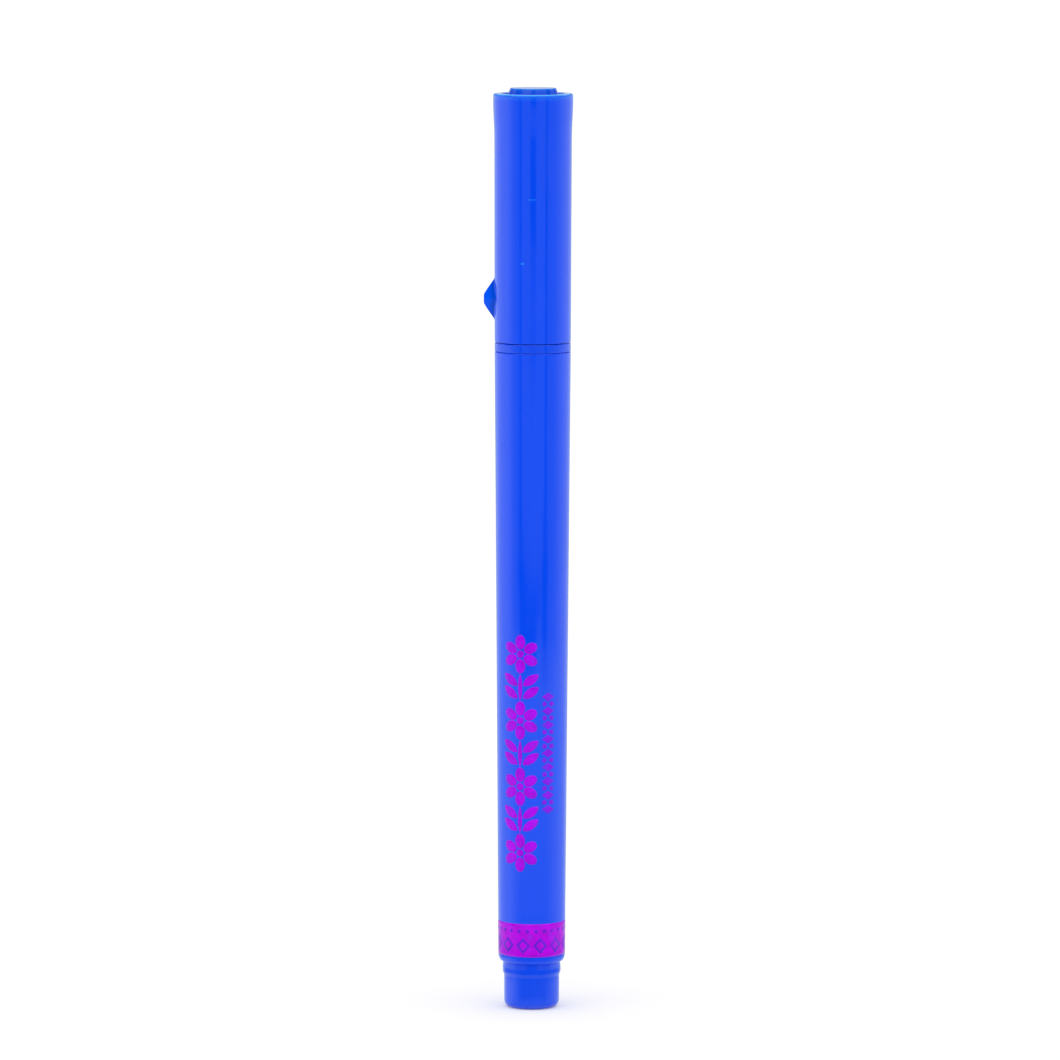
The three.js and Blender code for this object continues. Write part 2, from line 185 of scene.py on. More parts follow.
def held(line: Array, closed: bool) -> Array:
    """The line with a point near each end of its long straight runs.

    Args:
        line: points as rows.
        closed: whether the last point joins the first.

    Returns:
        The line with the added points.
    """
    after = np.roll(line, -1, axis=0)
    step = after - line
    length = np.linalg.norm(step, axis=1)
    long_run = length > 4 * HOLD
    if not closed:
        long_run[-1] = False
    share = np.where(long_run, HOLD / np.maximum(length, HOLD), 0.0)[:, None]
    rows = np.stack([line, line + step * share, after - step * share], axis=1)
    return rows[np.stack([np.ones_like(long_run), long_run, long_run], axis=1)]


def packed(line: Array, low: float, high: float, least_radius: float, step: float) -> Array:
    """The profile with closely spaced rings between two heights on its outer side.

    Args:
        line: points as rows of radius and height.
        low: the lower height.
        high: the upper height.
        least_radius: runs nearer to the axis than this are left as they are.
        step: the largest gap between rings there.

    Returns:
        The profile with the added rings.
    """
    made = []
    for start, end in zip(line[:-1], line[1:]):
        climb = end[1] - start[1]
        shares = np.zeros(1)
        inside = min(start[1], end[1]) < high and max(start[1], end[1]) > low
        if inside and min(start[0], end[0]) > least_radius:
            level = abs(climb) <= TINY
            reach = (0.0, 1.0) if level else sorted(((low - start[1]) / climb, (high - start[1]) / climb))
            first, last = np.clip(reach, 0.0, 1.0)
            count = math.ceil(float(np.linalg.norm(end - start)) * (last - first) / step)
            shares = np.unique(np.append(np.linspace(first, last, count + 1), 0.0))
        made.append(start + (end - start) * shares[shares < NEXT_CORNER, None])
    return np.concatenate([*made, line[-1:]])


def round_angles(sides: int, centres: Sequence[float] = (), half: float = 0.0, extra: int = 0) -> Array:
    """Angles round the axis in radians, closer together round some centres.

    Args:
        sides: how many even steps the full turn has.
        centres: where closer steps are wanted, in degrees from 0 to 360.
        half: how far the close steps reach on each side, in degrees.
        extra: how many close steps each centre gets.

    Returns:
        The sorted angles, each once.
    """
    even, close = np.arange(sides) * 360.0 / sides, []
    for centre in centres:
        even = even[np.abs((even - centre + 180.0) % 360.0 - 180.0) > half]
        close.append((centre + np.linspace(-half, half, extra)) % 360.0)
    return np.radians(np.unique(np.round(np.concatenate([even, *close]), 6)))


def mesh_object(name: str, points: Array, *faces: Array) -> bpy.types.Object:
    """A smooth mesh object at the origin, with its place in its mesh.

    Args:
        name: the piece's name.
        points: corner places in millimetres, three to a row.
        *faces: corner numbers, one face to a row.

    Returns:
        The linked object.
    """
    sizes = np.concatenate([np.full(len(part), part.shape[1]) for part in faces])
    mesh = bpy.data.meshes.new(name)
    mesh.vertices.add(len(points))
    mesh.vertices.foreach_set("co", (points * MM).astype(np.float32).ravel())
    mesh.loops.add(int(sizes.sum()))
    corners = np.concatenate([part.ravel() for part in faces])
    mesh.loops.foreach_set("vertex_index", corners.astype(np.int32))
    mesh.polygons.add(len(sizes))
    mesh.polygons.foreach_set("loop_start", (np.cumsum(sizes) - sizes).astype(np.int32))
    mesh.update(calc_edges=True)
    mesh.validate()
    mesh.shade_smooth()
    piece = bpy.data.objects.new(name, mesh)
    bpy.context.scene.collection.objects.link(piece)
    return piece


def woven(poles: Array, count: int) -> tuple[Array, Array]:
    """Faces between rings of points, from each ring to the next and from the last to the first.

    A face joins a point, its neighbour and the two above them. Beside a pole it is a triangle,
    and between two poles there is none. The rings' points are numbered first, then the poles.

    Args:
        poles: for each ring in order, whether it is only a pole.
        count: how many points the other rings have.

    Returns:
        The corner numbers of the four-cornered faces and of the triangles.
    """
    first_pole = int((~poles).sum()) * count
    spots = np.empty((len(poles), count), int)
    spots[~poles] = np.arange(first_pole).reshape(-1, count)
    spots[poles] = first_pole + np.arange(poles.sum())[:, None]
    above, pole_above = np.roll(spots, -1, axis=0), np.roll(poles, -1)
    faces = np.stack([spots, np.roll(spots, -1, 1), np.roll(above, -1, 1), above], axis=-1)
    fans = [faces[poles & ~pole_above][..., [0, 2, 3]], faces[~poles & pole_above][..., [2, 0, 1]]]
    return faces[~poles & ~pole_above].reshape(-1, 4), np.concatenate(fans).reshape(-1, 3)


def on_circle(radius: Array, height: Array, angle: Array) -> Array:
    """Points at a radius, height and angle: x is radius times cosine, y radius times sine."""
    return np.stack([radius * np.cos(angle), radius * np.sin(angle), height], axis=-1)


def turned(name: str, line: Array, angles: Array, shape: Shape = on_circle) -> bpy.types.Object:
    """A profile turned round the pen's axis, closed from its last point to its first.

    Args:
        name: the piece's name.
        line: the profile, rows of radius and height, upwards along the outside.
        angles: the angles round the axis, in radians.
        shape: given radius, height and angle as grids, returns the points as a grid of x, y and z.

    Returns:
        The linked object.
    """
    poles = line[:, 0] < TINY
    radius, angle = np.meshgrid(line[~poles, 0], angles, indexing="ij")
    height = np.repeat(line[~poles, 1:], len(angles), axis=1)
    ends = np.zeros((int(poles.sum()), 3))
    ends[:, 2] = line[poles, 1]
    points = np.concatenate([shape(radius, height, angle).reshape(-1, 3), ends])
    return mesh_object(name, points, *woven(poles, len(angles)))


class Value:
    """An output that takes part in sums: each of these adds a Math node to its graph."""

    def __init__(self, graph: "Graph", socket: bpy.types.NodeSocket) -> None:
        """Keeps the socket and the graph that its sums go into."""
        self.graph = graph
        self.socket = socket

    def maths(self, operation: str, *others: object) -> "Value":
        """The result of one operation on this and the others."""
        return self.graph.value("Math", dict(enumerate((self, *others))), operation=operation)

    __add__ = partialmethod(maths, "ADD")
    __sub__ = partialmethod(maths, "SUBTRACT")
    __mul__ = partialmethod(maths, "MULTIPLY")
    __abs__ = partialmethod(maths, "ABSOLUTE")
    larger = partialmethod(maths, "MAXIMUM")

    def swing(self, strength: object) -> "Value":
        """A shade about 1: twice the strength times how far this is above a half."""
        return (self - 0.5) * strength * 2.0 + 1.0

    def ramp(self, low: float, high: float, start: float = 0.0, end: float = 1.0) -> "Value":
        """A smooth change from start to end while this goes from low to high."""
        inputs = {"Value": self, "From Min": low, "From Max": high, "To Min": start, "To Max": end}
        return self.graph.value("MapRange", inputs, interpolation_type="SMOOTHSTEP")


class Graph:
    """Short calls that add nodes to a node tree and join them."""

    def __init__(self, tree: bpy.types.NodeTree) -> None:
        """Keeps the tree that nodes go into."""
        self.tree = tree
        self.count = 0

    def add(self, kind: str, inputs: dict | None = None, **settings: object) -> bpy.types.Node:
        """Adds a node.

        Args:
            kind: the node's type name, without its ShaderNode start.
            inputs: what each input gets, by name or number.
            **settings: the node's own properties.

        Returns:
            The node.
        """
        node = self.tree.nodes.new("ShaderNode" + kind)
        node.location = (180 * (self.count % 8), -220 * (self.count // 8))
        self.count += 1
        for key, value in settings.items():
            setattr(node, key, value)
        self.put(node, inputs or {})
        return node

    def put(self, node: bpy.types.Node, inputs: dict) -> None:
        """Gives a node's inputs an output, a number, a place or a colour each, by name or number."""
        for key, value in inputs.items():
            socket = node.inputs[key]
            if isinstance(value, Value):
                self.tree.links.new(value.socket, socket)
            else:
                socket.default_value = (*value, 1.0) if socket.type == "RGBA" else value

    def value(self, kind: str, inputs: dict | None = None, output: int | str = 0, **settings: str) -> Value:
        """Adds a node, as add does, and gives one of its outputs."""
        return Value(self, self.add(kind, inputs, **settings).outputs[output])

    def noise(self, vector: Value, scale: Place, detail: float = 2.0, roughness: float = 0.5) -> Value:
        """Soft noise, with its own scale along each axis of the vector."""
        sized = self.value("VectorMath", {0: vector, 1: scale}, operation="MULTIPLY")
        inputs = {"Vector": sized, "Scale": 1.0, "Detail": detail, "Roughness": roughness}
        return self.value("TexNoise", inputs, "Fac")

    def scaled(self, vector: Value | Colour, share: Value) -> Value:
        """A vector or colour multiplied by a number."""
        return self.value("VectorMath", {0: vector, "Scale": share}, operation="SCALE")

    def blend(self, share: Value, first: Value | Colour, second: Value | Colour) -> Value:
        """Two colours mixed by a share."""
        return self.value("Mix", {0: share, 6: first, 7: second}, 2, data_type="RGBA")

    def rays(self) -> Iterator[Value]:
        """Whether a ray is the camera's, a glossy reflection's, or has passed through something clear."""
        path = self.add("LightPath").outputs
        return (Value(self, path[f"Is {kind} Ray"]) for kind in ("Camera", "Glossy", "Transmission"))


Effect = Callable[[Graph, dict[str, Value]], dict[str, Value]]


class Paint(Graph):
    """A new material's graph, with its shader and its Object coordinates."""

    def __init__(self, name: str) -> None:
        """Makes the material."""
        self.material = bpy.data.materials.new(name)
        self.material.use_nodes = True
        super().__init__(self.material.node_tree)
        self.shader = next(node for node in self.tree.nodes if node.type == "BSDF_PRINCIPLED")
        self.place = self.value("TexCoord", output="Object")

    def height(self) -> Value:
        """The height along the pen, in metres."""
        return self.value("SeparateXYZ", {0: self.place}, "Z")

    def attribute(self, name: str) -> Value:
        """A number that the mesh keeps for each point."""
        return self.value("Attribute", output="Fac", attribute_name=name)

    def bump(self, height: Value, strength: float, distance: float) -> Value:
        """The normals of a relief, its distance in metres."""
        return self.value("Bump", {"Height": height, "Strength": strength, "Distance": distance})

    def group(self, effect: Effect, **inputs: float) -> dict[str, Value]:
        """Places an effect's node group, which is built when it is first used.

        Args:
            effect: given the group's graph and its inputs by name, returns its results by name.
            **inputs: this material's value for each input; Vector gets the Object coordinates.

        Returns:
            The group's outputs by name.
        """
        tree = bpy.data.node_groups.get(effect.__name__)
        if tree is None:
            tree = bpy.data.node_groups.new(effect.__name__, "ShaderNodeTree")
            graph = Graph(tree)
            tree.interface.new_socket("Vector", in_out="INPUT", socket_type="NodeSocketVector")
            for key in inputs:
                tree.interface.new_socket(key, in_out="INPUT", socket_type="NodeSocketFloat")
            given = tree.nodes.new("NodeGroupInput").outputs
            results = effect(graph, {socket.name: Value(graph, socket) for socket in given if socket.name})
            for key in results:
                tree.interface.new_socket(key, in_out="OUTPUT", socket_type="NodeSocketFloat")
            graph.put(tree.nodes.new("NodeGroupOutput"), results)
        placed = self.add("Group", {"Vector": self.place, **inputs}, node_tree=tree)
        return {socket.name: Value(self, socket) for socket in placed.outputs}


def moulding_flow(graph: Graph, given: dict[str, Value]) -> dict[str, Value]:
    """Moulded plastic: faint flow lines along the pen, slow waviness and fine grain.

    Args:
        graph: the group's graph.
        given: Vector, Flow and Grain.

    Returns:
        Shade, about 1, which multiplies the colour, and Height, the relief, 0 to 1.
    """
    flow = graph.noise(given["Vector"], (900.0, 900.0, 22.0), 3.0)
    cloud = graph.noise(given["Vector"], (130.0, 130.0, 60.0))
    wave = graph.noise(given["Vector"], (420.0, 420.0, 90.0), 1.0)
    grain = graph.noise(given["Vector"], (9000.0, 9000.0, 9000.0))
    both = flow * 0.55 + cloud * 0.45
    return {"Shade": both.swing(given["Flow"]), "Height": wave + grain * given["Grain"]}


def handling_marks(graph: Graph, given: dict[str, Value]) -> dict[str, Value]:
    """Marks of use: hair scratches along and across, small specks and smudges of fingers.

    Args:
        graph: the group's graph.
        given: Vector, Scratches and Specks.

    Returns:
        Scratches and Specks, masks from 0 to 1, and Smudge, a soft mask for roughness.
    """
    place = given["Vector"]
    lines = []
    for scale, turn in (((2600.0, 2600.0, 46.0), 0.0), ((300.0, 300.0, 5200.0), 0.35)):
        leaning = graph.value("VectorRotate", {"Vector": place, "Angle": turn}, rotation_type="X_AXIS")
        hair = abs(graph.noise(leaning, scale, 0.0) - 0.5).ramp(0.0, 0.012, 1.0, 0.0)
        patch = graph.noise(place, (210.0, 210.0, 120.0), 1.0)
        lines.append(hair * patch.ramp(0.56, 0.68))
    cells = graph.add("TexVoronoi", {"Vector": place, "Scale": 420.0}, feature="F1").outputs
    chance = graph.value("SeparateColor", {0: Value(graph, cells["Color"])})
    specks = Value(graph, cells["Distance"]).ramp(0.03, 0.055, 1.0, 0.0) * chance.ramp(0.8, 0.83)
    return {
        "Scratches": lines[0].larger(lines[1]) * given["Scratches"],
        "Specks": specks * given["Specks"],
        "Smudge": graph.noise(place, (170.0, 170.0, 95.0), 4.0, 0.62).ramp(0.46, 0.66),
    }


def fibre_grain(graph: Graph, given: dict[str, Value]) -> dict[str, Value]:
    """Fibres that run along the pen: fine stretched noise over coarser bundles.

    Args:
        graph: the group's graph.
        given: Vector, Fineness and Contrast.

    Returns:
        Shade, about 1, which multiplies the colour, and Height, the relief, 0 to 1.
    """
    sized = graph.scaled(given["Vector"], given["Fineness"])
    fine = graph.noise(sized, (14000.0, 14000.0, 1600.0), 3.0, 0.7)
    both = fine * 0.6 + graph.noise(sized, (3800.0, 3800.0, 260.0)) * 0.4
    return {"Shade": both.swing(given["Contrast"]), "Height": both}


def ink_lay(graph: Graph, given: dict[str, Value]) -> dict[str, Value]:
    """Screen-printed ink: slow mottling, thin blots and pinholes.

    Args:
        graph: the group's graph.
        given: Vector, Mottle and Thinness.

    Returns:
        Shade, about 1, which multiplies the colour, and Thin, a mask from 0 to 1 of thin ink.
    """
    mottle = graph.noise(given["Vector"], (900.0, 900.0, 900.0), 3.0)
    blots = graph.noise(given["Vector"], (620.0, 620.0, 420.0), 4.0, 0.6).ramp(0.5, 0.72)
    holes = graph.noise(given["Vector"], (5200.0, 5200.0, 5200.0), 1.0).ramp(0.68, 0.76)
    return {"Shade": mottle.swing(given["Mottle"]), "Thin": blots.larger(holes) * given["Thinness"]}


@dataclass(frozen=True)
class Finish:
    """A material, built the first time that it is asked for."""

    name: str

    def material(self) -> bpy.types.Material:
        """The finish's material."""
        if self.name not in bpy.data.materials:
            paint = Paint(self.name)
            paint.put(paint.shader, self.looks(paint))
        return bpy.data.materials[self.name]

    def looks(self, paint: Paint) -> dict[str, object]:
        """What the shader's inputs get; the plain shader has none."""
        return {}


@dataclass(frozen=True)
class GlossyPlastic(Finish):
    """Glossy dyed plastic from a mould, with the marks of light handling.

    Where an attribute is named, it says how proud the surface stands, 0 to 1, and the colour is
    darkened towards the foot: painted shade in the crease there. Where an edge height is given, in
    metres, the colour pales towards that edge: a painted highlight along the rounded edge. Each nick
    is a pale mark, given by its middle and its reach along x, y and z, in millimetres.
    """

    colour: Colour = (0.0, 0.07, 0.96)
    roughness: float = 0.07
    flow: float = 0.07
    grain: float = 0.06
    scratches: float = 0.5
    scratch_dust: float = 0.25
    scratch_rough: float = 0.18
    smudge_rough: float = 0.04
    specks: float = 0.6
    speck_dark: float = 0.5
    dent: float = 0.12
    specular: float = 0.7
    proud: str = ""
    foot_depth: float = 0.34
    edge: float = 0.0
    edge_glow: float = 0.22
    glow_reach: float = 1.1 * MM
    line_reach: float = 0.3 * MM
    line_full: float = 0.1 * MM
    pale_colour: Colour = (0.02, 0.34, 1.0)
    nicks: tuple[tuple[Place, Place], ...] = ()
    relief: float = 0.012 * MM
    relief_strength: float = 0.35

    def looks(self, paint: Paint) -> dict[str, object]:
        """Flow and specks in the colour, smudges in the roughness and scratches in the relief, with a painted
        highlight and painted shade.

        Args:
            paint: the material's graph.

        Returns:
            What the shader's inputs get.
        """
        mould = paint.group(moulding_flow, Flow=self.flow, Grain=self.grain)
        marks = paint.group(handling_marks, Scratches=self.scratches, Specks=self.specks)
        dusty = tuple(min(1.0, 0.05 + 0.9 * part) for part in self.colour)
        dark = tuple(0.55 * part for part in self.colour)
        tone = paint.scaled(self.colour, mould["Shade"])
        tone = paint.blend(marks["Scratches"] * self.scratch_dust, tone, dusty)
        tone = paint.blend(marks["Specks"] * self.speck_dark, tone, dark)
        for middle, reach in self.nicks:
            start = {0: paint.place, 1: tuple(part * MM for part in middle)}
            offset = paint.value("VectorMath", start, operation="SUBTRACT")
            sizes = {0: offset, 1: tuple(1.0 / (part * MM) for part in reach)}
            sized = paint.value("VectorMath", sizes, operation="MULTIPLY")
            away = paint.value("VectorMath", {0: sized}, "Value", operation="LENGTH")
            tone = paint.blend(away.ramp(0.4, 1.0, 0.5, 0.0), tone, self.pale_colour)
        # Painted highlight: the colour pales towards the edge height, faintly over a wide band, then fully
        # along the rounded edge.
        if self.edge:
            height = paint.height()
            line_start = self.edge - self.line_reach
            highlight_band = height.ramp(self.edge - self.glow_reach, line_start) * self.edge_glow
            painted_highlight = highlight_band.larger(height.ramp(line_start, self.edge - self.line_full))
            tone = paint.blend(painted_highlight, tone, self.pale_colour)
        # Painted shade: the colour darkens near the foot of proud parts, as shade falls in the crease where
        # the lug meets the wall.
        if self.proud:
            proud = paint.attribute(self.proud)
            foot = proud.ramp(0.01, 0.05) * proud.ramp(0.1, 0.6, 1.0, 0.0)
            tone = paint.scaled(tone, foot * -self.foot_depth + 1.0)
        rough = marks["Smudge"] * self.smudge_rough + self.roughness
        dents = (marks["Scratches"] + marks["Specks"]) * -self.dent
        return {
            "Base Color": tone,
            "Roughness": marks["Scratches"] * self.scratch_rough + rough,
            "Normal": paint.bump(mould["Height"] + dents, self.relief_strength, self.relief),
            "Specular IOR Level": self.specular,
        }


@dataclass(frozen=True)
class InkedFelt(Finish):
    """Pressed felt soaked with ink, paler and greyer towards the tip between two heights in metres."""

    colour: Colour = (0.001, 0.083, 0.93)
    tip_colour: Colour = (0.06, 0.1, 0.56)
    tip_start: float = 0.0
    tip_end: float = 1.0
    fineness: float = 1.0
    contrast: float = 0.42
    relief: float = 0.04 * MM

    def looks(self, paint: Paint) -> dict[str, object]:
        """Fibre grain in colour and relief, and a greyer tip by height.

        Args:
            paint: the material's graph.

        Returns:
            What the shader's inputs get.
        """
        grain = paint.group(fibre_grain, Fineness=self.fineness, Contrast=self.contrast)
        # Paler and greyer towards the tip: on the nib this is a painted sheen on the point.
        tip_share = paint.height().ramp(self.tip_start, self.tip_end)
        base = paint.blend(tip_share * (grain["Height"] * 0.9 + 0.5), self.colour, self.tip_colour)
        return {
            "Base Color": paint.scaled(base, grain["Shade"]),
            "Roughness": grain["Height"] * 0.2 + 0.36,
            "Normal": paint.bump(grain["Height"], 0.8, self.relief),
            "Specular IOR Level": 0.22,
            "Sheen Weight": 0.04,
            "Sheen Roughness": 0.4,
        }


@dataclass(frozen=True)
class PrintedInk(Finish):
    """Screen-printed ink on the barrel, thin enough in places for the colour under it to show."""

    colour: Colour = (0.49, 0.0, 0.8)
    under: Colour = (0.2, 0.03, 0.86)
    mottle: float = 0.22
    thinness: float = 0.5
    relief: float = 0.01 * MM

    def looks(self, paint: Paint) -> dict[str, object]:
        """Mottled ink colour, with the colour under it showing where it is thin.

        Args:
            paint: the material's graph.

        Returns:
            What the shader's inputs get.
        """
        ink = paint.group(ink_lay, Mottle=self.mottle, Thinness=self.thinness)
        return {
            "Base Color": paint.blend(ink["Thin"], paint.scaled(self.colour, ink["Shade"]), self.under),
            "Roughness": ink["Thin"] * 0.1 + 0.14,
            "Normal": paint.bump(ink["Shade"], 0.3, self.relief),
            "Specular IOR Level": 0.16,
        }


@dataclass(frozen=True)
class ClearFilm(Finish):
    """Thin wrapped film, with faint creases along it."""

    colour: Colour = (0.74, 0.8, 0.9)
    crest_colour: Colour = (0.9, 0.94, 1.0)
    relief: float = 0.03 * MM

    def looks(self, paint: Paint) -> dict[str, object]:
        """A clear sheet whose tint, roughness and relief follow faint creases.

        Args:
            paint: the material's graph.

        Returns:
            What the shader's inputs get.
        """
        creases = paint.noise(paint.place, (1500.0, 1500.0, 40.0), 3.0)
        return {
            "Base Color": paint.blend(creases.ramp(0.35, 0.65), self.colour, self.crest_colour),
            "Roughness": creases.ramp(0.3, 0.7, 0.12, 0.3),
            "Normal": paint.bump(creases, 0.4, self.relief),
            "Transmission Weight": 0.6,
        }


def settle(piece: bpy.types.Object, body: Body, finish: Finish) -> None:
    """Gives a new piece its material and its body.

    Args:
        piece: the new piece.
        body: what it moves with.
        finish: its finish.
    """
    piece.data.materials.append(finish.material())
    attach(piece, body.value)
    log.info("%s: %d faces on %s", piece.name, len(piece.data.polygons), body.value)


@dataclass
class TailPlug:
    """The hollow stepped stud below the barrel."""

    neck_radius: float = 4.28
    boss_radius: float = 4.14
    bead_rise: float = 0.07
    edge_round: float = 1.05
    spigot_radius: float = 4.0
    hollow_radius: float = 2.89
    floor: float = 1.4
    spigot_length: float = 7.0
    lead: float = 0.4
    finish: GlossyPlastic = GlossyPlastic("tail_plug_plastic", (0.0, 0.069, 0.92), scratches=0.7)

    def profile(self) -> Array:
        """The outline from the pole of the flat end, up the outside and down into the hollow."""
        bead = self.neck_radius + self.bead_rise
        length = PLAN.tail_length
        top = length + self.spigot_length
        corners = [
            (0.0, 0.0),
            (self.boss_radius, 0.0, self.edge_round),
            (self.boss_radius, 4.85, 0.35),
            (bead, 5.42, 0.5),
            (bead, 6.1, 0.7),
            (self.neck_radius - 0.02, length - 0.02, 0.05),
            (self.spigot_radius, length, 0.05),
            (self.spigot_radius, top - self.lead, 0.1),
            (self.spigot_radius - self.lead, top, 0.1),
            (self.hollow_radius, top, 0.15),
            (self.hollow_radius, self.floor, 0.3),
            (0.0, self.floor),
        ]
        return rounded(corners, False)

    def build(self) -> None:
        """Turns the outline and puts it in the node's place."""
        piece = turned("tail_plug_moulding", self.profile(), round_angles(160))
        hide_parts("tail_plug")
        settle(piece, Body.PEN, self.finish)


@dataclass
class Barrel:
    """The tapered tube with a rounded shoulder at its tail and a seat at each end."""

    shoulder_height: float = 1.1
    shoulder_inset: float = 0.62
    front_seat_depth: float = 9.5
    tail_seat_depth: float = 7.5
    seat_step: float = 0.15
    arc_steps: int = 5
    finish: GlossyPlastic = GlossyPlastic("barrel_plastic")

    def radius(self, height: Array | float) -> Array | float:
        """Outside radius at a height: a straight taper from the shoulder to the front end."""
        low = PLAN.tail_length + self.shoulder_height
        share = (height - low) / (PLAN.collar_bottom - low)
        return PLAN.tail_radius + (PLAN.front_radius - PLAN.tail_radius) * share

    def shoulder(self) -> Array:
        """The rounded shoulder: a quarter of an ellipse from the lower face out to the wall."""
        turn = np.linspace(0.0, math.pi / 2, 15)
        radius = PLAN.tail_radius - self.shoulder_inset * (1.0 - np.sin(turn))
        height = PLAN.tail_length + self.shoulder_height * (1.0 - np.cos(turn))
        return np.stack([radius, height], axis=-1)

    def profile(self) -> Array:
        """The outline from the tail seat's mouth, round the shoulder, up the wall and down the bore."""
        tail_seat = PLAN.tail_radius - PLAN.wall
        front_seat = PLAN.front_radius - PLAN.wall
        low, high = PLAN.tail_length, PLAN.collar_bottom - PLAN.seam_slit
        corners = [
            *self.shoulder(),
            (PLAN.front_radius, high, PLAN.seam_round),
            (front_seat, high, 0.08),
            (front_seat, high - self.front_seat_depth, 0.05),
            (front_seat - self.seat_step, high - self.front_seat_depth, 0.05),
            (tail_seat - self.seat_step, low + self.tail_seat_depth, 0.05),
            (tail_seat, low + self.tail_seat_depth, 0.05),
            (tail_seat, low, 0.05),
        ]
        return rounded(corners, True, self.arc_steps)

    def build(self) -> None:
        """Turns the outline and puts it in the node's place."""
        piece = turned("barrel_tube", self.profile(), round_angles(200))
        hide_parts("barrel")
        settle(piece, Body.PEN, self.finish)


@dataclass
class NoseSection:
    """Collar, snap rings, straight nose, taper, mouth, nib guide and spigot in one moulding."""

    top_radius: float = 4.295
    straight_start: float = 4.0
    straight_length: float = 15.7
    land_length: float = 2.0
    mouth_radius: float = 2.92
    land_radius: float = 2.99
    mouth_bore: float = 2.47
    mouth_bore_depth: float = 3.0
    guide_radius: float = 1.76
    guide_length: float = 9.0
    vent_width: float = 0.6
    vent_depth: float = 0.45
    vent_ease: float = 0.08
    spigot_length: float = 9.0
    spigot_step: float = 0.15
    grip_rise: float = 0.1
    grip_length: float = 0.8
    grip_pitch: float = 3.0
    grip_count: int = 2
    ring_first: float = 1.0
    ring_pitch: float = 0.88
    ring_rise: float = 0.09
    ring_length: float = 0.62
    ring_ease: float = 0.16
    ring_wall: float = 4.3
    ring_foot: float = 0.3
    ring_count: int = 3
    sector_middle: float = math.radians(-37.0)
    sector_half: float = math.radians(60.0)
    sector_ease: float = 0.05
    finish: GlossyPlastic = GlossyPlastic("nose_plastic", (0.0, 0.068, 0.91), scratches=0.9)

    def grips(self, bottom: float, radius: float) -> list[tuple[float, ...]]:
        """The spigot's grip rings, each a slope up and a square step back.

        Args:
            bottom: the spigot's lower end.
            radius: its radius between the rings.

        Returns:
            The corners.
        """
        corners = []
        for ring in range(self.grip_count):
            start = bottom + self.grip_pitch * (ring + 0.5)
            crest, top = radius + self.grip_rise, start + self.grip_length
            corners += [(radius, start, 0.1), (crest, start + self.grip_length / 2, 0.1)]
            corners += [(crest, top, 0.02), (radius, top, 0.03)]
        return corners

    def profile(self) -> Array:
        """The outline from the spigot's lower end, over the collar and nose, and down the bore."""
        seat = PLAN.front_radius - PLAN.wall - self.spigot_step
        foot, chamber = PLAN.nose_foot_radius, PLAN.chamber_radius
        collar = -PLAN.collar_height
        low = collar - self.spigot_length
        guide_top = PLAN.nose_length - self.mouth_bore_depth
        guide_low = guide_top - self.guide_length
        corners = [
            (chamber, low, 0.1),
            (seat, low, 0.25),
            *self.grips(low, seat),
            (seat, collar, 0.05),
            (PLAN.front_radius, collar, PLAN.seam_round),
            (PLAN.front_radius, -PLAN.seam_slit, PLAN.seam_round),
            (foot, -PLAN.seam_slit, 0.12),
            (foot, self.straight_start - 0.31, 0.1),
            (foot - self.ring_rise / 2, self.straight_start, 0.2),
            (self.top_radius, self.straight_length, 4.5),
            (self.land_radius, PLAN.nose_length - self.land_length, 2.2),
            (self.mouth_radius, PLAN.nose_length, 0.3),
            (self.mouth_bore, PLAN.nose_length, 0.12),
            (self.mouth_bore, guide_top, 0.15),
            (self.guide_radius, guide_top, 0.08),
            (self.guide_radius, guide_low, 0.1),
            (chamber, guide_low - (chamber - self.guide_radius), 0.3),
        ]
        line = packed(rounded(corners, True), 0.2, self.straight_start + 0.2, least_radius=4.2, step=0.045)
        return line + np.array([0.0, PLAN.collar_top])

    def shape(self, radius: Array, height: Array, angle: Array) -> Array:
        """Raises the snap rings and sinks the vents.

        A ring's rise is an ease up and down across its length, times an ease to nothing past the
        ends of its sector, which repeats every half turn. The top ring runs all the way round. A
        vent sinks the guide's wall where the angle is within its half width of a quarter turn.

        Args:
            radius: the profile's radius.
            height: the profile's height.
            angle: the angle round the axis.

        Returns:
            The points.
        """
        above = height - PLAN.collar_top
        outside = (radius > self.ring_wall) & (above > self.ring_foot) & (above < self.straight_start)
        off = np.abs((angle - self.sector_middle + math.pi / 2) % math.pi - math.pi / 2)
        sector = smooth_step((self.sector_half - off) / self.sector_ease + 0.5)
        swell = np.zeros_like(radius)
        for ring in range(self.ring_count):
            distance = np.abs(above - self.ring_first - self.ring_pitch * ring)
            ridge = smooth_step((self.ring_length / 2 - distance) / self.ring_ease)
            swell += ridge * (1.0 if ring == self.ring_count - 1 else sector)
        raised = radius + np.where(outside, swell * self.ring_rise, 0.0)
        in_guide = np.abs(radius - self.guide_radius) < 0.2
        quarter = np.abs((angle + math.pi / 4) % (math.pi / 2) - math.pi / 4)
        vent = smooth_step((self.vent_width / 2 - quarter * self.guide_radius) / self.vent_ease + 0.5)
        return on_circle(raised + np.where(in_guide, vent * self.vent_depth, 0.0), height, angle)

    def build(self) -> None:
        """Turns and shapes the outline and puts it in the node's place."""
        angles = round_angles(180, (0.0, 90.0, 180.0, 270.0), half=12.0, extra=25)
        piece = turned("nose_moulding", self.profile(), angles, self.shape)
        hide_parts("nose_section")
        settle(piece, Body.PEN, self.finish)


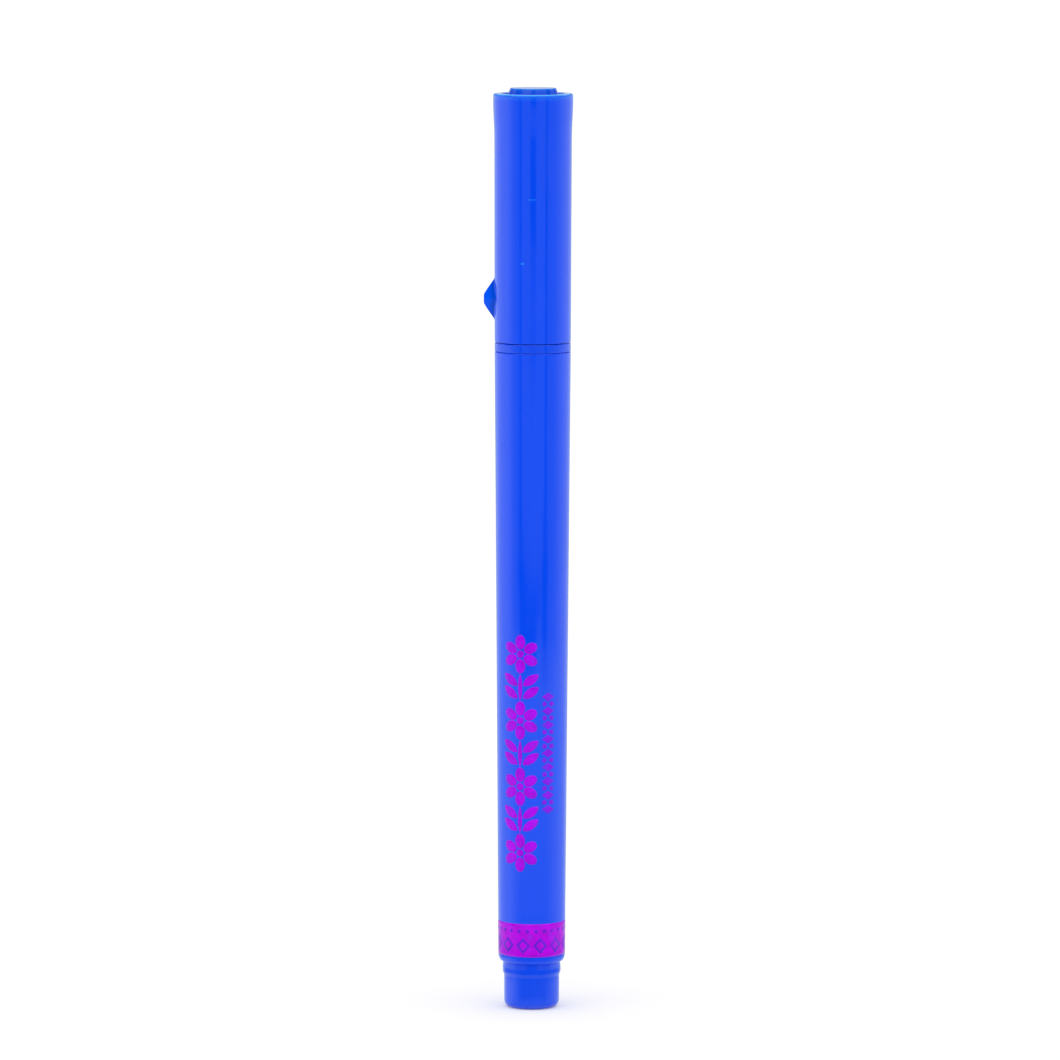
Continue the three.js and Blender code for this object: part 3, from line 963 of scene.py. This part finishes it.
@dataclass
class Nib:
    """The round felt rod with a conical point."""

    radius: float = 1.71
    reach: float = 7.45
    cone: float = math.radians(17.0)
    tip_round: float = 0.45
    shoulder_round: float = 11.0
    rear_height: float = 106.0
    arc_steps: int = 9
    sink: float = 0.004
    furrow_depth: float = 0.005
    fibre_depth: float = 0.004
    # The nib's paler, greyer tip is a painted sheen.
    finish: InkedFelt = InkedFelt("nib_felt", tip_start=0.1302, tip_end=0.1327)

    def profile(self) -> Array:
        """The outline from the rear pole up to the tip's pole."""
        tip = PLAN.mouth_top + self.reach
        centre = tip - self.tip_round
        shoulder = centre + self.tip_round / math.sin(self.cone) - self.radius / math.tan(self.cone)
        turn = np.linspace(self.cone, math.pi / 2, 9)
        dome = np.stack([self.tip_round * np.cos(turn), centre + self.tip_round * np.sin(turn)], axis=-1)
        dome[-1, 0] = 0.0
        corners = [
            (0.0, self.rear_height),
            (self.radius, self.rear_height, 0.3),
            (self.radius, shoulder, self.shoulder_round),
            dome[0],
        ]
        line = np.concatenate([rounded(corners, False, self.arc_steps), dome[1:]])
        return packed(line, PLAN.mouth_top - 1.0, tip - 0.02, least_radius=0.05, step=0.09)

    def shape(self, radius: Array, height: Array, angle: Array) -> Array:
        """Adds the felt's surface: long shallow furrows and fine fibres, as products of sines.

        Args:
            radius: the profile's radius.
            height: the profile's height.
            angle: the angle round the axis.

        Returns:
            The points.
        """
        furrow = np.sin(23.0 * angle + 0.9 * height) * np.sin(0.7 * height + 5.0 * angle)
        fibre = np.sin(61.0 * angle - 1.7 * height) * np.sin(2.3 * height + 11.0 * angle)
        wear = 1.0 - 0.6 * smooth_step((height - PLAN.mouth_top - 5.0) / 2.0)
        depth = self.sink + self.furrow_depth * furrow + self.fibre_depth * fibre
        return on_circle(radius * (1.0 - depth * wear), height, angle)

    def build(self) -> None:
        """Turns and shapes the outline and puts it in the node's place."""
        piece = turned("nib_felt_rod", self.profile(), round_angles(192), self.shape)
        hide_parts("nib")
        settle(piece, Body.PEN, self.finish)


@dataclass
class CapShell:
    """The cap's tube with its flared top, snap rib, ledge and anti-roll lug."""

    draft: float = 0.09
    flare: float = 0.18
    flare_start: float = 30.3
    flare_length: float = 5.6
    rim_inset: float = 1.24
    rim_round: float = 0.3
    bore: float = 4.72
    rib_low: float = 3.32
    rib_length: float = 0.7
    rib_radius: float = 4.62
    ledge_height: float = 32.0
    ledge_length: float = 0.7
    ledge_rise: float = 0.28
    lug_height: float = 6.45
    lug_half_length: float = 3.05
    lug_half_width: float = 1.95
    lug_proud: float = 1.65
    lug_flat_share: float = 0.25
    lug_crease: float = 0.1
    lug_end_round: float = 0.03
    lug_end_shift: float = 0.05
    lug_side_round: float = 0.0004
    lug_reach: float = 1.35
    lug_fade: float = 0.12
    lug_zone: float = 3.55
    lug_foot: float = 0.02
    # The colour pales towards the rim: a painted highlight along its rounded edge.
    finish: GlossyPlastic = GlossyPlastic(
        "cap_plastic",
        specks=0.9,
        edge=PLAN.rim_top * MM,
        nicks=(((-0.11, -5.72, 121.75), (0.95, 2.0, 0.11)), ((-1.55, -5.5, 112.27), (0.42, 2.0, 0.22))),
    )
    # The lug's colour darkens towards its foot: painted shade in the crease against the wall.
    lug_finish: GlossyPlastic = GlossyPlastic(
        "cap_lug_plastic", (0.0, 0.098, 0.97), specks=0.9, specular=0.08, proud="lug_proud"
    )

    def wall(self) -> Array:
        """The outside wall's corners: a slight draft, then an eased flare to the rim."""
        share = np.linspace(0.0, 1.0, 24)
        radius = PLAN.front_radius + self.draft + self.flare * smooth_step(share)
        return np.stack([radius, self.flare_start + self.flare_length * share], axis=-1)

    def profile(self) -> Array:
        """The outline from the mouth's inner edge, up the wall, over the rim and down the bore."""
        rim = PLAN.front_radius + self.draft + self.flare
        opening = rim - self.rim_inset
        drop = self.bore - self.rib_radius
        ledge = self.bore - self.ledge_rise
        rib_high = self.rib_low + self.rib_length
        corners = [
            (self.bore, PLAN.seam_slit, 0.15),
            (PLAN.front_radius, PLAN.seam_slit, PLAN.seam_round),
            *self.wall(),
            (rim, PLAN.cap_length, self.rim_round),
            (opening, PLAN.cap_length, 0.14),
            (opening, self.ledge_height + self.ledge_length + self.ledge_rise, 0.2),
            (ledge, self.ledge_height + self.ledge_length, 0.1),
            (ledge, self.ledge_height, 0.08),
            (self.bore, self.ledge_height, 0.1),
            (self.bore, rib_high + drop, 0.1),
            (self.rib_radius, rib_high, 0.1),
            (self.rib_radius, self.rib_low + drop, 0.1),
            (self.bore, self.rib_low, 0.1),
        ]
        low, high = self.lug_height - self.lug_zone, self.lug_height + self.lug_zone
        line = packed(rounded(corners, True), low, high, least_radius=5.2, step=0.07)
        return line + np.array([0.0, PLAN.collar_top])

    def shape(self, radius: Array, height: Array, angle: Array) -> Array:
        """Raises the lug, a blunt four-sided pyramid, out of the wall on the side of -X.

        Its distance is the share of its half length above or below its middle plus the share of
        its half width in front or behind. It stands proud by its slope times one less that
        distance, up to its flat. The wall moves straight out to whichever is further, the round
        wall or the lug, with the creases softened.

        Args:
            radius: the profile's radius.
            height: the profile's height.
            angle: the angle round the axis.

        Returns:
            The points.
        """
        points = on_circle(radius, height, angle)
        up = height - PLAN.collar_top - self.lug_height
        along = np.sqrt((up / self.lug_half_length) ** 2 + self.lug_end_round) - self.lug_end_shift
        across = np.sqrt((points[..., 1] / self.lug_half_width) ** 2 + self.lug_side_round)
        proud = self.lug_proud / (1.0 - self.lug_flat_share) * (1.0 - along - across)
        proud = -soft_larger(-proud, np.full_like(proud, -self.lug_proud), self.lug_crease)
        out = soft_larger(-points[..., 0], PLAN.front_radius + proud, self.lug_crease)
        near = (radius > 5.3) & (np.cos(angle) < -0.85) & (along + across < self.lug_reach)
        ease = smooth_step((self.lug_reach - along - across) / self.lug_fade)
        moved = points[..., 0] - (out + points[..., 0]) * ease
        points[..., 0] = np.where(near, moved, points[..., 0])
        return points

    def dress_lug(self, piece: bpy.types.Object) -> None:
        """Keeps how proud the lug stands as an attribute, and gives its faces their own finish.

        Args:
            piece: the cap's tube.
        """
        places = np.empty(len(piece.data.vertices) * 3, np.float32)
        piece.data.vertices.foreach_get("co", places)
        x, y, z = places.reshape(-1, 3).T / MM
        proud = (np.hypot(x, y) - PLAN.front_radius - self.draft) / self.lug_proud
        near = np.abs(z - PLAN.collar_top - self.lug_height) < self.lug_zone
        proud = np.where(near, np.clip(proud, 0.0, 1.0), 0.0)
        piece.data.attributes.new(self.lug_finish.proud, "FLOAT", "POINT").data.foreach_set("value", proud)
        corners = np.empty(len(piece.data.loops), np.int32)
        piece.data.loops.foreach_get("vertex_index", corners)
        on_lug = proud[corners].reshape(-1, 4).mean(axis=1) > self.lug_foot
        piece.data.materials.append(self.lug_finish.material())
        piece.data.polygons.foreach_set("material_index", on_lug.astype(np.int32))

    def build(self) -> None:
        """Turns and shapes the outline and puts it in the node's place."""
        angles = round_angles(180, (180.0,), half=26.0, extra=81)
        piece = turned("cap_tube", self.profile(), angles, self.shape)
        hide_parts("cap_shell")
        settle(piece, Body.CAP, self.finish)
        self.dress_lug(piece)


@dataclass
class InnerCap:
    """The closed cup that seals the mouth, with the crown disc on its end and four fins."""

    bore: float = 3.07
    outside: float = 3.71
    crown_thickness: float = 1.1
    crown_draft: float = 0.31
    lip: float = 22.25
    lip_width: float = 0.34
    seal: float = 23.1
    fin_top: float = 32.0
    fin_length: float = 7.5
    fin_half: float = 0.4
    fin_reach: float = 4.67
    fin_radius: float = 4.2
    fin_side_ease: float = 0.06
    fin_low_ease: float = 0.3
    fin_top_ease: float = 0.1
    # The colour pales towards the crown's top edge: a painted highlight.
    finish: GlossyPlastic = GlossyPlastic(
        "inner_cap_plastic",
        (0.0, 0.062, 0.8),
        specks=0.3,
        edge=PLAN.crown_top * MM,
        pale_colour=(0.02, 0.24, 0.9),
    )

    def profile(self) -> Array:
        """The outline from the lip, up the outside, over the crown to the axis and round the cup."""
        top = PLAN.cap_length + PLAN.crown_rise
        lip = (self.bore + self.lip_width, self.lip)
        outer = [
            lip,
            (self.outside, self.lip, 0.1),
            (self.outside, PLAN.cap_length, 0.1),
            (self.outside - self.crown_draft, top, 0.12),
            (0.0, top),
        ]
        cup = [
            (0.0, top - self.crown_thickness),
            (self.bore, top - self.crown_thickness, 0.25),
            (self.bore, self.seal, 0.2),
            lip,
        ]
        low, high = self.fin_top - self.fin_length - 0.2, self.fin_top + 0.2
        wall = packed(rounded(outer, False), low, high, least_radius=3.6, step=0.1)
        return np.concatenate([wall, rounded(cup, False)[:-1]]) + np.array([0.0, PLAN.collar_top])

    def shape(self, radius: Array, height: Array, angle: Array) -> Array:
        """Draws the four fins out of the outside wall.

        A point belongs to a fin where its angle is within the fin's half width of the diagonal
        and its height within the fin's length, eased at the edges. There the radius grows to the
        fin's reach.

        Args:
            radius: the profile's radius.
            height: the profile's height.
            angle: the angle round the axis.

        Returns:
            The points.
        """
        above = height - PLAN.collar_top
        diagonal = np.abs(angle % (math.pi / 2) - math.pi / 4)
        side = smooth_step((self.fin_half - diagonal * self.fin_radius) / self.fin_side_ease + 0.5)
        low = smooth_step((above - self.fin_top + self.fin_length) / self.fin_low_ease)
        high = smooth_step((self.fin_top - above) / self.fin_top_ease)
        on_wall = (np.abs(radius - self.outside) < 0.01) & (above < self.fin_top + 0.3)
        share = np.where(on_wall, side * low * high, 0.0)
        return on_circle(radius + (self.fin_reach - radius) * share, height, angle)

    def build(self) -> None:
        """Turns and shapes the outline and puts it in the node's place."""
        angles = round_angles(160, (45.0, 135.0, 225.0, 315.0), half=8.0, extra=25)
        piece = turned("inner_cap_cup", self.profile(), angles, self.shape)
        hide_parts("inner_cap")
        settle(piece, Body.CAP, self.finish)


class Motif(Enum):
    """The printed shapes, with the power that sharpens their ends."""

    OVAL = 0.0
    LEAF = 0.6
    DIAMOND = -1.0


@dataclass(frozen=True)
class Stamp:
    """One printed shape: its kind, place on the barrel, size and turn, in millimetres and radians."""

    kind: Motif
    across: float
    up: float
    size: float
    slim: float = 1.0
    turn: float = 0.0
    count: int = 40

    def outline(self) -> Array:
        """The shape's edge round its middle.

        An oval is a cosine along and a sine across; a leaf's sine is multiplied by its own size to
        a power, which draws the ends to points; a diamond divides both by the sum of their sizes.

        Returns:
            Offsets anticlockwise, rows of across and up.
        """
        way = np.arange(self.count) * 2 * math.pi / self.count
        along, aside = np.cos(way), np.sin(way)
        if self.kind is Motif.DIAMOND:
            along, aside = np.array([along, aside]) / (np.abs(along) + np.abs(aside))
        else:
            aside = aside * np.abs(aside) ** self.kind.value
        flat = self.size * np.stack([along, self.slim * aside], axis=-1)
        cosine, sine = math.cos(self.turn), math.sin(self.turn)
        return flat @ np.array([[cosine, sine], [-sine, cosine]])


@dataclass
class BarrelPrint:
    """The printing: a band with marks, a column of blossoms and leaves, and a row of diamonds and dots."""

    barrel: Barrel
    skin: float = 0.02
    layer: float = 0.009
    depth: float = 0.03
    ring_step: float = 0.3
    band_low: float = 8.2
    band_high: float = 13.25
    mark_count: int = 12
    mark_rise: float = 1.75
    dot_rise: float = 3.95
    column_across: float = -1.82
    column_low: float = 21.2
    column_pitch: float = 9.98
    blossoms: int = 4
    blossom_reach: float = 2.85
    petal_reach: float = 1.8
    row_across: float = 2.49
    row_low: float = 30.59
    row_pitch: float = 1.06
    row_count: int = 17
    band_finish: PrintedInk = PrintedInk("band_ink", mottle=0.3)
    motif_finish: PrintedInk = PrintedInk("motif_ink", (0.43, 0.0, 0.84), mottle=0.3, thinness=0.3)
    row_finish: PrintedInk = PrintedInk("fine_ink", (0.26, 0.01, 0.86), (0.06, 0.06, 0.9))
    mark_finish: PrintedInk = PrintedInk("mark_ink", (0.16, 0.012, 0.7), (0.4, 0.02, 0.8))

    def wrapped(self, flat: Array, proud: float) -> Array:
        """Rows of across and up laid outside the barrel: across becomes an angle from the front."""
        radius = self.barrel.radius(flat[:, 1])
        return on_circle(radius + proud, flat[:, 1], flat[:, 0] / radius - math.pi / 2)

    def pressed(self, name: str, stamps: Sequence[Stamp], proud: float, finish: PrintedInk) -> None:
        """Makes one printed piece of thin closed shapes.

        Each shape has rings that grow from a middle point to its edge, then one ring and a middle
        point under the barrel's wall.

        Args:
            name: the piece's name.
            stamps: the shapes.
            proud: how far their faces stand outside the barrel.
            finish: the ink.
        """
        points, quads, tris, first = [], [], [], 0
        for stamp in stamps:
            edge, middle = stamp.outline(), np.array([[stamp.across, stamp.up]])
            steps = math.ceil(float(np.abs(edge).max()) / self.ring_step)
            shares = [*np.linspace(1.0 / steps, 1.0, steps), 1.0, 0.0, 0.0]
            levels = [*[proud] * (steps - 1), proud - self.layer / 2, -self.depth, proud, -self.depth]
            rings = [self.wrapped(edge * share + middle, level) for share, level in zip(shares, levels)]
            points += [*rings[:-2], rings[-2][:1], rings[-1][:1]]
            poles = np.array([True, *[False] * (steps + 1), True])
            for faces, part in zip((quads, tris), woven(poles, len(edge))):
                faces.append(part[:, ::-1] + first)
            first += (steps + 1) * len(edge) + 2
        piece = mesh_object(name, np.concatenate(points), np.concatenate(quads), np.concatenate(tris))
        settle(piece, Body.PEN, finish)

    def blossom(self, up: float) -> list[Stamp]:
        """A round centre with six petals."""
        petals = [Stamp(Motif.OVAL, self.column_across, up, size=0.56)]
        for turn in (np.arange(6) * math.pi / 3 + math.pi / 6).tolist():
            across = self.column_across + self.petal_reach * math.cos(turn)
            level = up + self.petal_reach * math.sin(turn)
            petals.append(Stamp(Motif.OVAL, across, level, size=1.08, slim=0.72, turn=turn))
        return petals

    def sprig(self, up: float) -> list[Stamp]:
        """A short stem with two pairs of leaves."""
        leaves = [Stamp(Motif.LEAF, self.column_across, up, size=2.0, slim=0.16, turn=math.pi / 2)]
        for level in (up - 0.8, up + 1.1):
            for side in (1.0, -1.0):
                across = self.column_across + 1.62 * side
                leaves.append(Stamp(Motif.LEAF, across, level, size=1.45, slim=0.46, turn=0.62 * side))
        return leaves

    def column(self) -> list[Stamp]:
        """Blossoms up the barrel with a sprig between each two."""
        stamps = []
        for number in range(self.blossoms):
            up = self.column_low + self.blossom_reach + number * self.column_pitch
            stamps += self.blossom(up)
            if number < self.blossoms - 1:
                stamps += self.sprig(up + self.column_pitch / 2)
        return stamps

    def row(self) -> list[Stamp]:
        """A fine row of diamonds and pairs of dots."""
        stamps = []
        for number in range(self.row_count):
            up = self.row_low + number * self.row_pitch
            if number % 2:
                stamps += [Stamp(Motif.OVAL, self.row_across + side, up, size=0.36) for side in (-0.58, 0.58)]
            else:
                stamps.append(Stamp(Motif.DIAMOND, self.row_across, up, size=1.04, slim=0.64))
        return stamps

    def band(self) -> Array:
        """The band's outline: its skin from end to end, with the edges pressed into the barrel."""
        height = np.linspace(self.band_low, self.band_high, 14)
        proud = np.full_like(height, self.skin)
        proud[[0, -1]] = self.skin / 2
        height = height[[0, *range(len(height)), -1]]
        return np.stack([self.barrel.radius(height) + [-self.depth, *proud, -self.depth], height], axis=-1)

    def build(self) -> None:
        """Builds the band and everything printed on it, the column and the row."""
        band = turned("print_band", self.band(), round_angles(200))
        settle(band, Body.PEN, self.band_finish)
        count, low, skin = self.mark_count, self.band_low, self.skin
        around = (np.arange(count) - (count - 1) / 2) * 2 * math.pi * self.barrel.radius(low) / count
        marks = [(float(across), low + self.mark_rise) for across in around]
        large = [Stamp(Motif.DIAMOND, *mark, size=1.12, slim=1.1) for mark in marks]
        small = [Stamp(Motif.DIAMOND, *mark, size=0.62, slim=1.1) for mark in marks]
        sides = [across + side for across, _ in marks for side in (-0.66, 0.66)]
        dots = [Stamp(Motif.OVAL, across, low + self.dot_rise, size=0.27) for across in sides]
        self.pressed("print_band_marks", large + dots, skin + self.layer, self.mark_finish)
        self.pressed("print_band_centres", small, skin + 2 * self.layer, self.band_finish)
        self.pressed("print_column", self.column(), skin, self.motif_finish)
        self.pressed("print_row", self.row(), skin, self.row_finish)


@dataclass
class Reservoir:
    """The fibre rod and its film, which keep their own solids and get their finishes."""

    fibre: InkedFelt = InkedFelt(
        "reservoir_fibre", (0.01, 0.05, 0.55), (0.02, 0.09, 0.7), tip_start=0.104, tip_end=0.112, fineness=0.6
    )
    film: ClearFilm = ClearFilm("reservoir_sleeve")

    def dress(self) -> None:
        """Puts the finishes on the two carried-over solids."""
        for node, finish in (("reservoir_core", self.fibre), ("reservoir_film", self.film)):
            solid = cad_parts[node]
            solid.data.materials.clear()
            solid.data.materials.append(finish.material())
            log.info("%s: finish %s", node, finish.name)


@dataclass(frozen=True)
class Foreground:
    """What the glossy plastic mirrors: a graded card that lies on the floor, unseen but in reflections.

    The camera looks down a little, so the tail mirrors the floor a few centimetres away and the
    crown mirrors it two metres away. A wall turned sideways by an angle mirrors the floor at
    twice that angle.
    """

    reach: float = 8.0
    sides: int = 300
    rings: int = 210
    lift: float = 0.04 * MM
    foot: float = 0.0044
    dim_tint: Colour = (0.65, 1.0, 1.0)
    bright_tint: Colour = (0.85, 1.0, 1.0)

    def shade(self, distance: Array, degrees: Array) -> Array:
        """How light the card is: bright at the foot, dim in front and behind, light at the sides.

        Dark strips cross it. Every change along the distance or round the side is an ease; the
        parts are mixed in turn.

        Args:
            distance: how far from the pen's axis, in metres.
            degrees: how far to the right of the camera's direction.

        Returns:
            The lightness, 0 to 1.
        """

        def strip(low: float | Array, high: float | Array, soft: float | Array) -> Array:
            """A mask, 1 between two directions, eased at both sides."""
            return rise(degrees, low - soft, low + soft) * rise(-degrees, -high - soft, -high + soft)

        foot = rise(-distance, -0.016, -0.009)
        round_right = rise(degrees, 130.0, 175.0)
        near = 0.24 + 0.34 * foot + 0.24 * rise(distance, 0.045, 0.1) + 0.14 * rise(distance, 0.1, 0.3)
        sides = rise(-degrees, 32.0, 84.0) + 0.8 * rise(degrees, 38.0, 104.0) + 0.2 * round_right
        near = near + (1.0 - near) * sides
        ahead = rise(-np.abs(degrees), -150.0, -110.0)
        near = near * (1.0 - 0.6 * ahead * rise(distance, 0.024, 0.036) * rise(-distance, -0.062, -0.046))
        far = 0.33 + 0.67 * rise(-degrees, 47.0, 88.0) + 0.57 * rise(degrees, 54.0, 114.0) + 0.1 * round_right
        slim = rise(distance, 0.55, 0.66)
        left_low = -46.0 + 8.0 * rise(-distance, -0.52, -0.4) + 4.0 * slim
        left_high = -16.0 - 17.0 * rise(distance, 0.5, 0.6)
        left = (0.96 - 0.2 * slim) * strip(left_low, left_high, 6.0 - 4.0 * slim)
        right = (0.97 - 0.15 * slim) * strip(31.0 + 6.0 * slim, 49.0 - 4.0 * slim, 5.0 - 3.0 * slim)
        beams = np.maximum(left, right) * rise(distance, 0.345, 0.39)
        gap = rise(distance, 0.97, 1.0) * rise(-distance, -1.13, -1.1)
        centre = strip(-8.0, 9.5, 2.5) * np.maximum(rise(distance, 1.34, 1.46), gap)
        wedge = strip(-40.0, 12.0 + 16.0 * rise(distance, 0.41, 0.45), 5.0)
        wedge = wedge * rise(distance, 0.345, 0.37) * rise(-distance, -0.53, -0.45)
        share = rise(distance, 0.37, 0.4)
        card = (near * (1.0 - share) + far * share) * (1.0 - 0.45 * rise(np.abs(degrees), 146.0, 174.0))
        return card * (1.0 - beams) * (1.0 - centre) * (1.0 - 0.98 * wedge)

    def build(self) -> None:
        """Lays the card: rings round the pen, closer together near it, that keep their lightness."""
        distance = np.geomspace(self.foot, self.reach, self.rings)
        angle = np.arange(self.sides) * 2 * math.pi / self.sides
        radius, turn = np.meshgrid(distance, angle, indexing="ij")
        across, along, up = radius * np.sin(turn), -radius * np.cos(turn), np.full_like(radius, self.lift)
        points = np.stack([across, along, up], axis=-1).reshape(-1, 3) / MM
        closed, _ = woven(np.zeros(self.rings, bool), self.sides)
        card = mesh_object("foreground_card", points, closed[:-self.sides])
        degrees = (np.degrees(turn) + 180.0) % 360.0 - 180.0
        shade = card.data.attributes.new("shade", "FLOAT", "POINT")
        shade.data.foreach_set("value", self.shade(radius, degrees).astype(np.float32).ravel())
        paint = Paint("foreground_grey")
        tone = paint.attribute("shade")
        tint = paint.blend(tone, self.dim_tint, self.bright_tint)
        looks = {"Base Color": (0.0, 0.0, 0.0), "Specular IOR Level": 0.0}
        paint.put(paint.shader, {**looks, "Emission Color": tint, "Emission Strength": tone})
        card.data.materials.append(paint.material)
        card.visible_camera = card.visible_diffuse = card.visible_shadow = card.visible_transmission = False


@dataclass(frozen=True)
class Studio:
    """A pale floor, soft lights and the camera at the photograph's angle."""

    distance: float = 1.02
    elevation: float = math.radians(6.3)
    roll: float = math.radians(0.1)
    aim: Place = (-0.00036, 0.0, 0.07205)
    lens: float = 231.9
    floor_reach: float = 14.0
    ambient: float = 0.92
    floor_lift: float = 0.2
    skyline: float = 0.7
    high_sky: float = 0.03
    front_sides: float = 0.34
    lamp_width: float = math.radians(55.0)
    foreground: Foreground = Foreground()

    def camera(self) -> None:
        """Places the camera straight in front, a little above, looking at the pen's middle."""
        data = bpy.data.cameras.new("camera")
        data.lens = self.lens
        data.sensor_width = 36.0
        data.clip_end = 60.0
        eye = bpy.data.objects.new("camera", data)
        bpy.context.scene.collection.objects.link(eye)
        back = Vector((0.0, -math.cos(self.elevation), math.sin(self.elevation)))
        turn = (-back).to_track_quat("-Z", "Y").to_matrix().to_4x4() @ Matrix.Rotation(self.roll, 4, "Z")
        eye.matrix_world = Matrix.Translation(Vector(self.aim) + back * self.distance) @ turn
        bpy.context.scene.camera = eye

    def floor(self) -> None:
        """A large pale floor, a little lighter where the camera or a reflection sees it."""
        corners = np.array([[-1.0, -1.0, 0.0], [1.0, -1.0, 0.0], [1.0, 1.0, 0.0], [-1.0, 1.0, 0.0]])
        plate = mesh_object("studio_floor", corners * self.floor_reach / MM, np.array([[0, 1, 2, 3]]))
        paint = Paint("studio_floor_paint")
        camera, glossy, clear = paint.rays()
        cloud = paint.noise(paint.place, (3.0, 3.0, 3.0))
        paint.put(paint.shader, {
            "Base Color": paint.blend(cloud, (0.8, 0.8, 0.8), (0.81, 0.81, 0.81)),
            "Roughness": 0.9,
            "Specular IOR Level": 0.0,
            "Emission Color": (1.0, 1.0, 1.0),
            "Emission Strength": camera.larger(glossy).larger(clear) * self.floor_lift,
        })
        plate.data.materials.append(paint.material)

    def world(self) -> None:
        """Even light, white for the camera; reflections see it dim low down, white behind and above."""
        world = bpy.data.worlds.new("studio_air")
        world.use_nodes = True
        bpy.context.scene.world = world
        graph = Graph(world.node_tree)
        backdrop = next(node for node in world.node_tree.nodes if node.type == "BACKGROUND")
        camera, glossy, clear = graph.rays()
        way = graph.add("SeparateXYZ", {0: graph.value("TexCoord", output="Generated")})
        x, y, z = (Value(graph, socket) for socket in way.outputs)
        behind = z.ramp(0.08, 0.3, self.skyline, self.high_sky) * y.ramp(-0.4, 0.4, 0.15, 1.0)
        screen = z.ramp(0.25, 0.5) * y.ramp(0.0, 0.4)
        above = screen.larger(z.ramp(0.62, 0.85))
        ahead = z.ramp(0.3, 0.5, 1.0, 0.0) * y.ramp(-0.4, 0.0, 1.0, 0.0)
        sides = abs(x).ramp(0.22, 0.5, 0.0, self.front_sides) * ahead
        mirrored = behind.larger(above).larger(sides)
        plain = camera.larger(clear) * (1.0 - self.ambient) + self.ambient
        strength = graph.value("Mix", {0: glossy, 2: plain, 3: mirrored}, data_type="FLOAT")
        graph.put(backdrop, {"Color": (1.0, 1.0, 1.0), "Strength": strength})

    def lamp(self, name: str, side: float, height: float, strength: float) -> None:
        """One broad, even lamp far away.

        Args:
            name: the lamp's name.
            side: degrees to the right of the camera's direction.
            height: degrees above the floor.
            strength: its strength.
        """
        data = bpy.data.lights.new(name, "SUN")
        data.energy, data.angle = strength, self.lamp_width
        lamp = bpy.data.objects.new(name, data)
        bpy.context.scene.collection.objects.link(lamp)
        side, height = math.radians(side), math.radians(height)
        level = math.cos(height)
        towards = Vector((level * math.sin(side), -level * math.cos(side), math.sin(height)))
        turn = (-towards).to_track_quat("-Z", "Y").to_matrix().to_4x4()
        lamp.matrix_world = Matrix.Translation(towards) @ turn

    def build(self) -> None:
        """Sets up the camera, floor, surroundings and lamps."""
        self.camera()
        self.floor()
        self.world()
        self.foreground.build()
        self.lamp("key_light", -40.0, 58.0, 0.34)
        self.lamp("fill_light", 46.0, 52.0, 0.24)
        bpy.context.scene.view_settings.view_transform = "Standard"


def main() -> None:
    """Builds the studio, then every piece of the pen."""
    logging.basicConfig(level=logging.INFO, format="%(name)s: %(message)s")
    Studio().build()
    barrel = Barrel()
    for piece in (TailPlug(), barrel, BarrelPrint(barrel), NoseSection(), Nib(), CapShell(), InnerCap()):
        piece.build()
    Reservoir().dress()


if __name__ == "__main__":
    main()
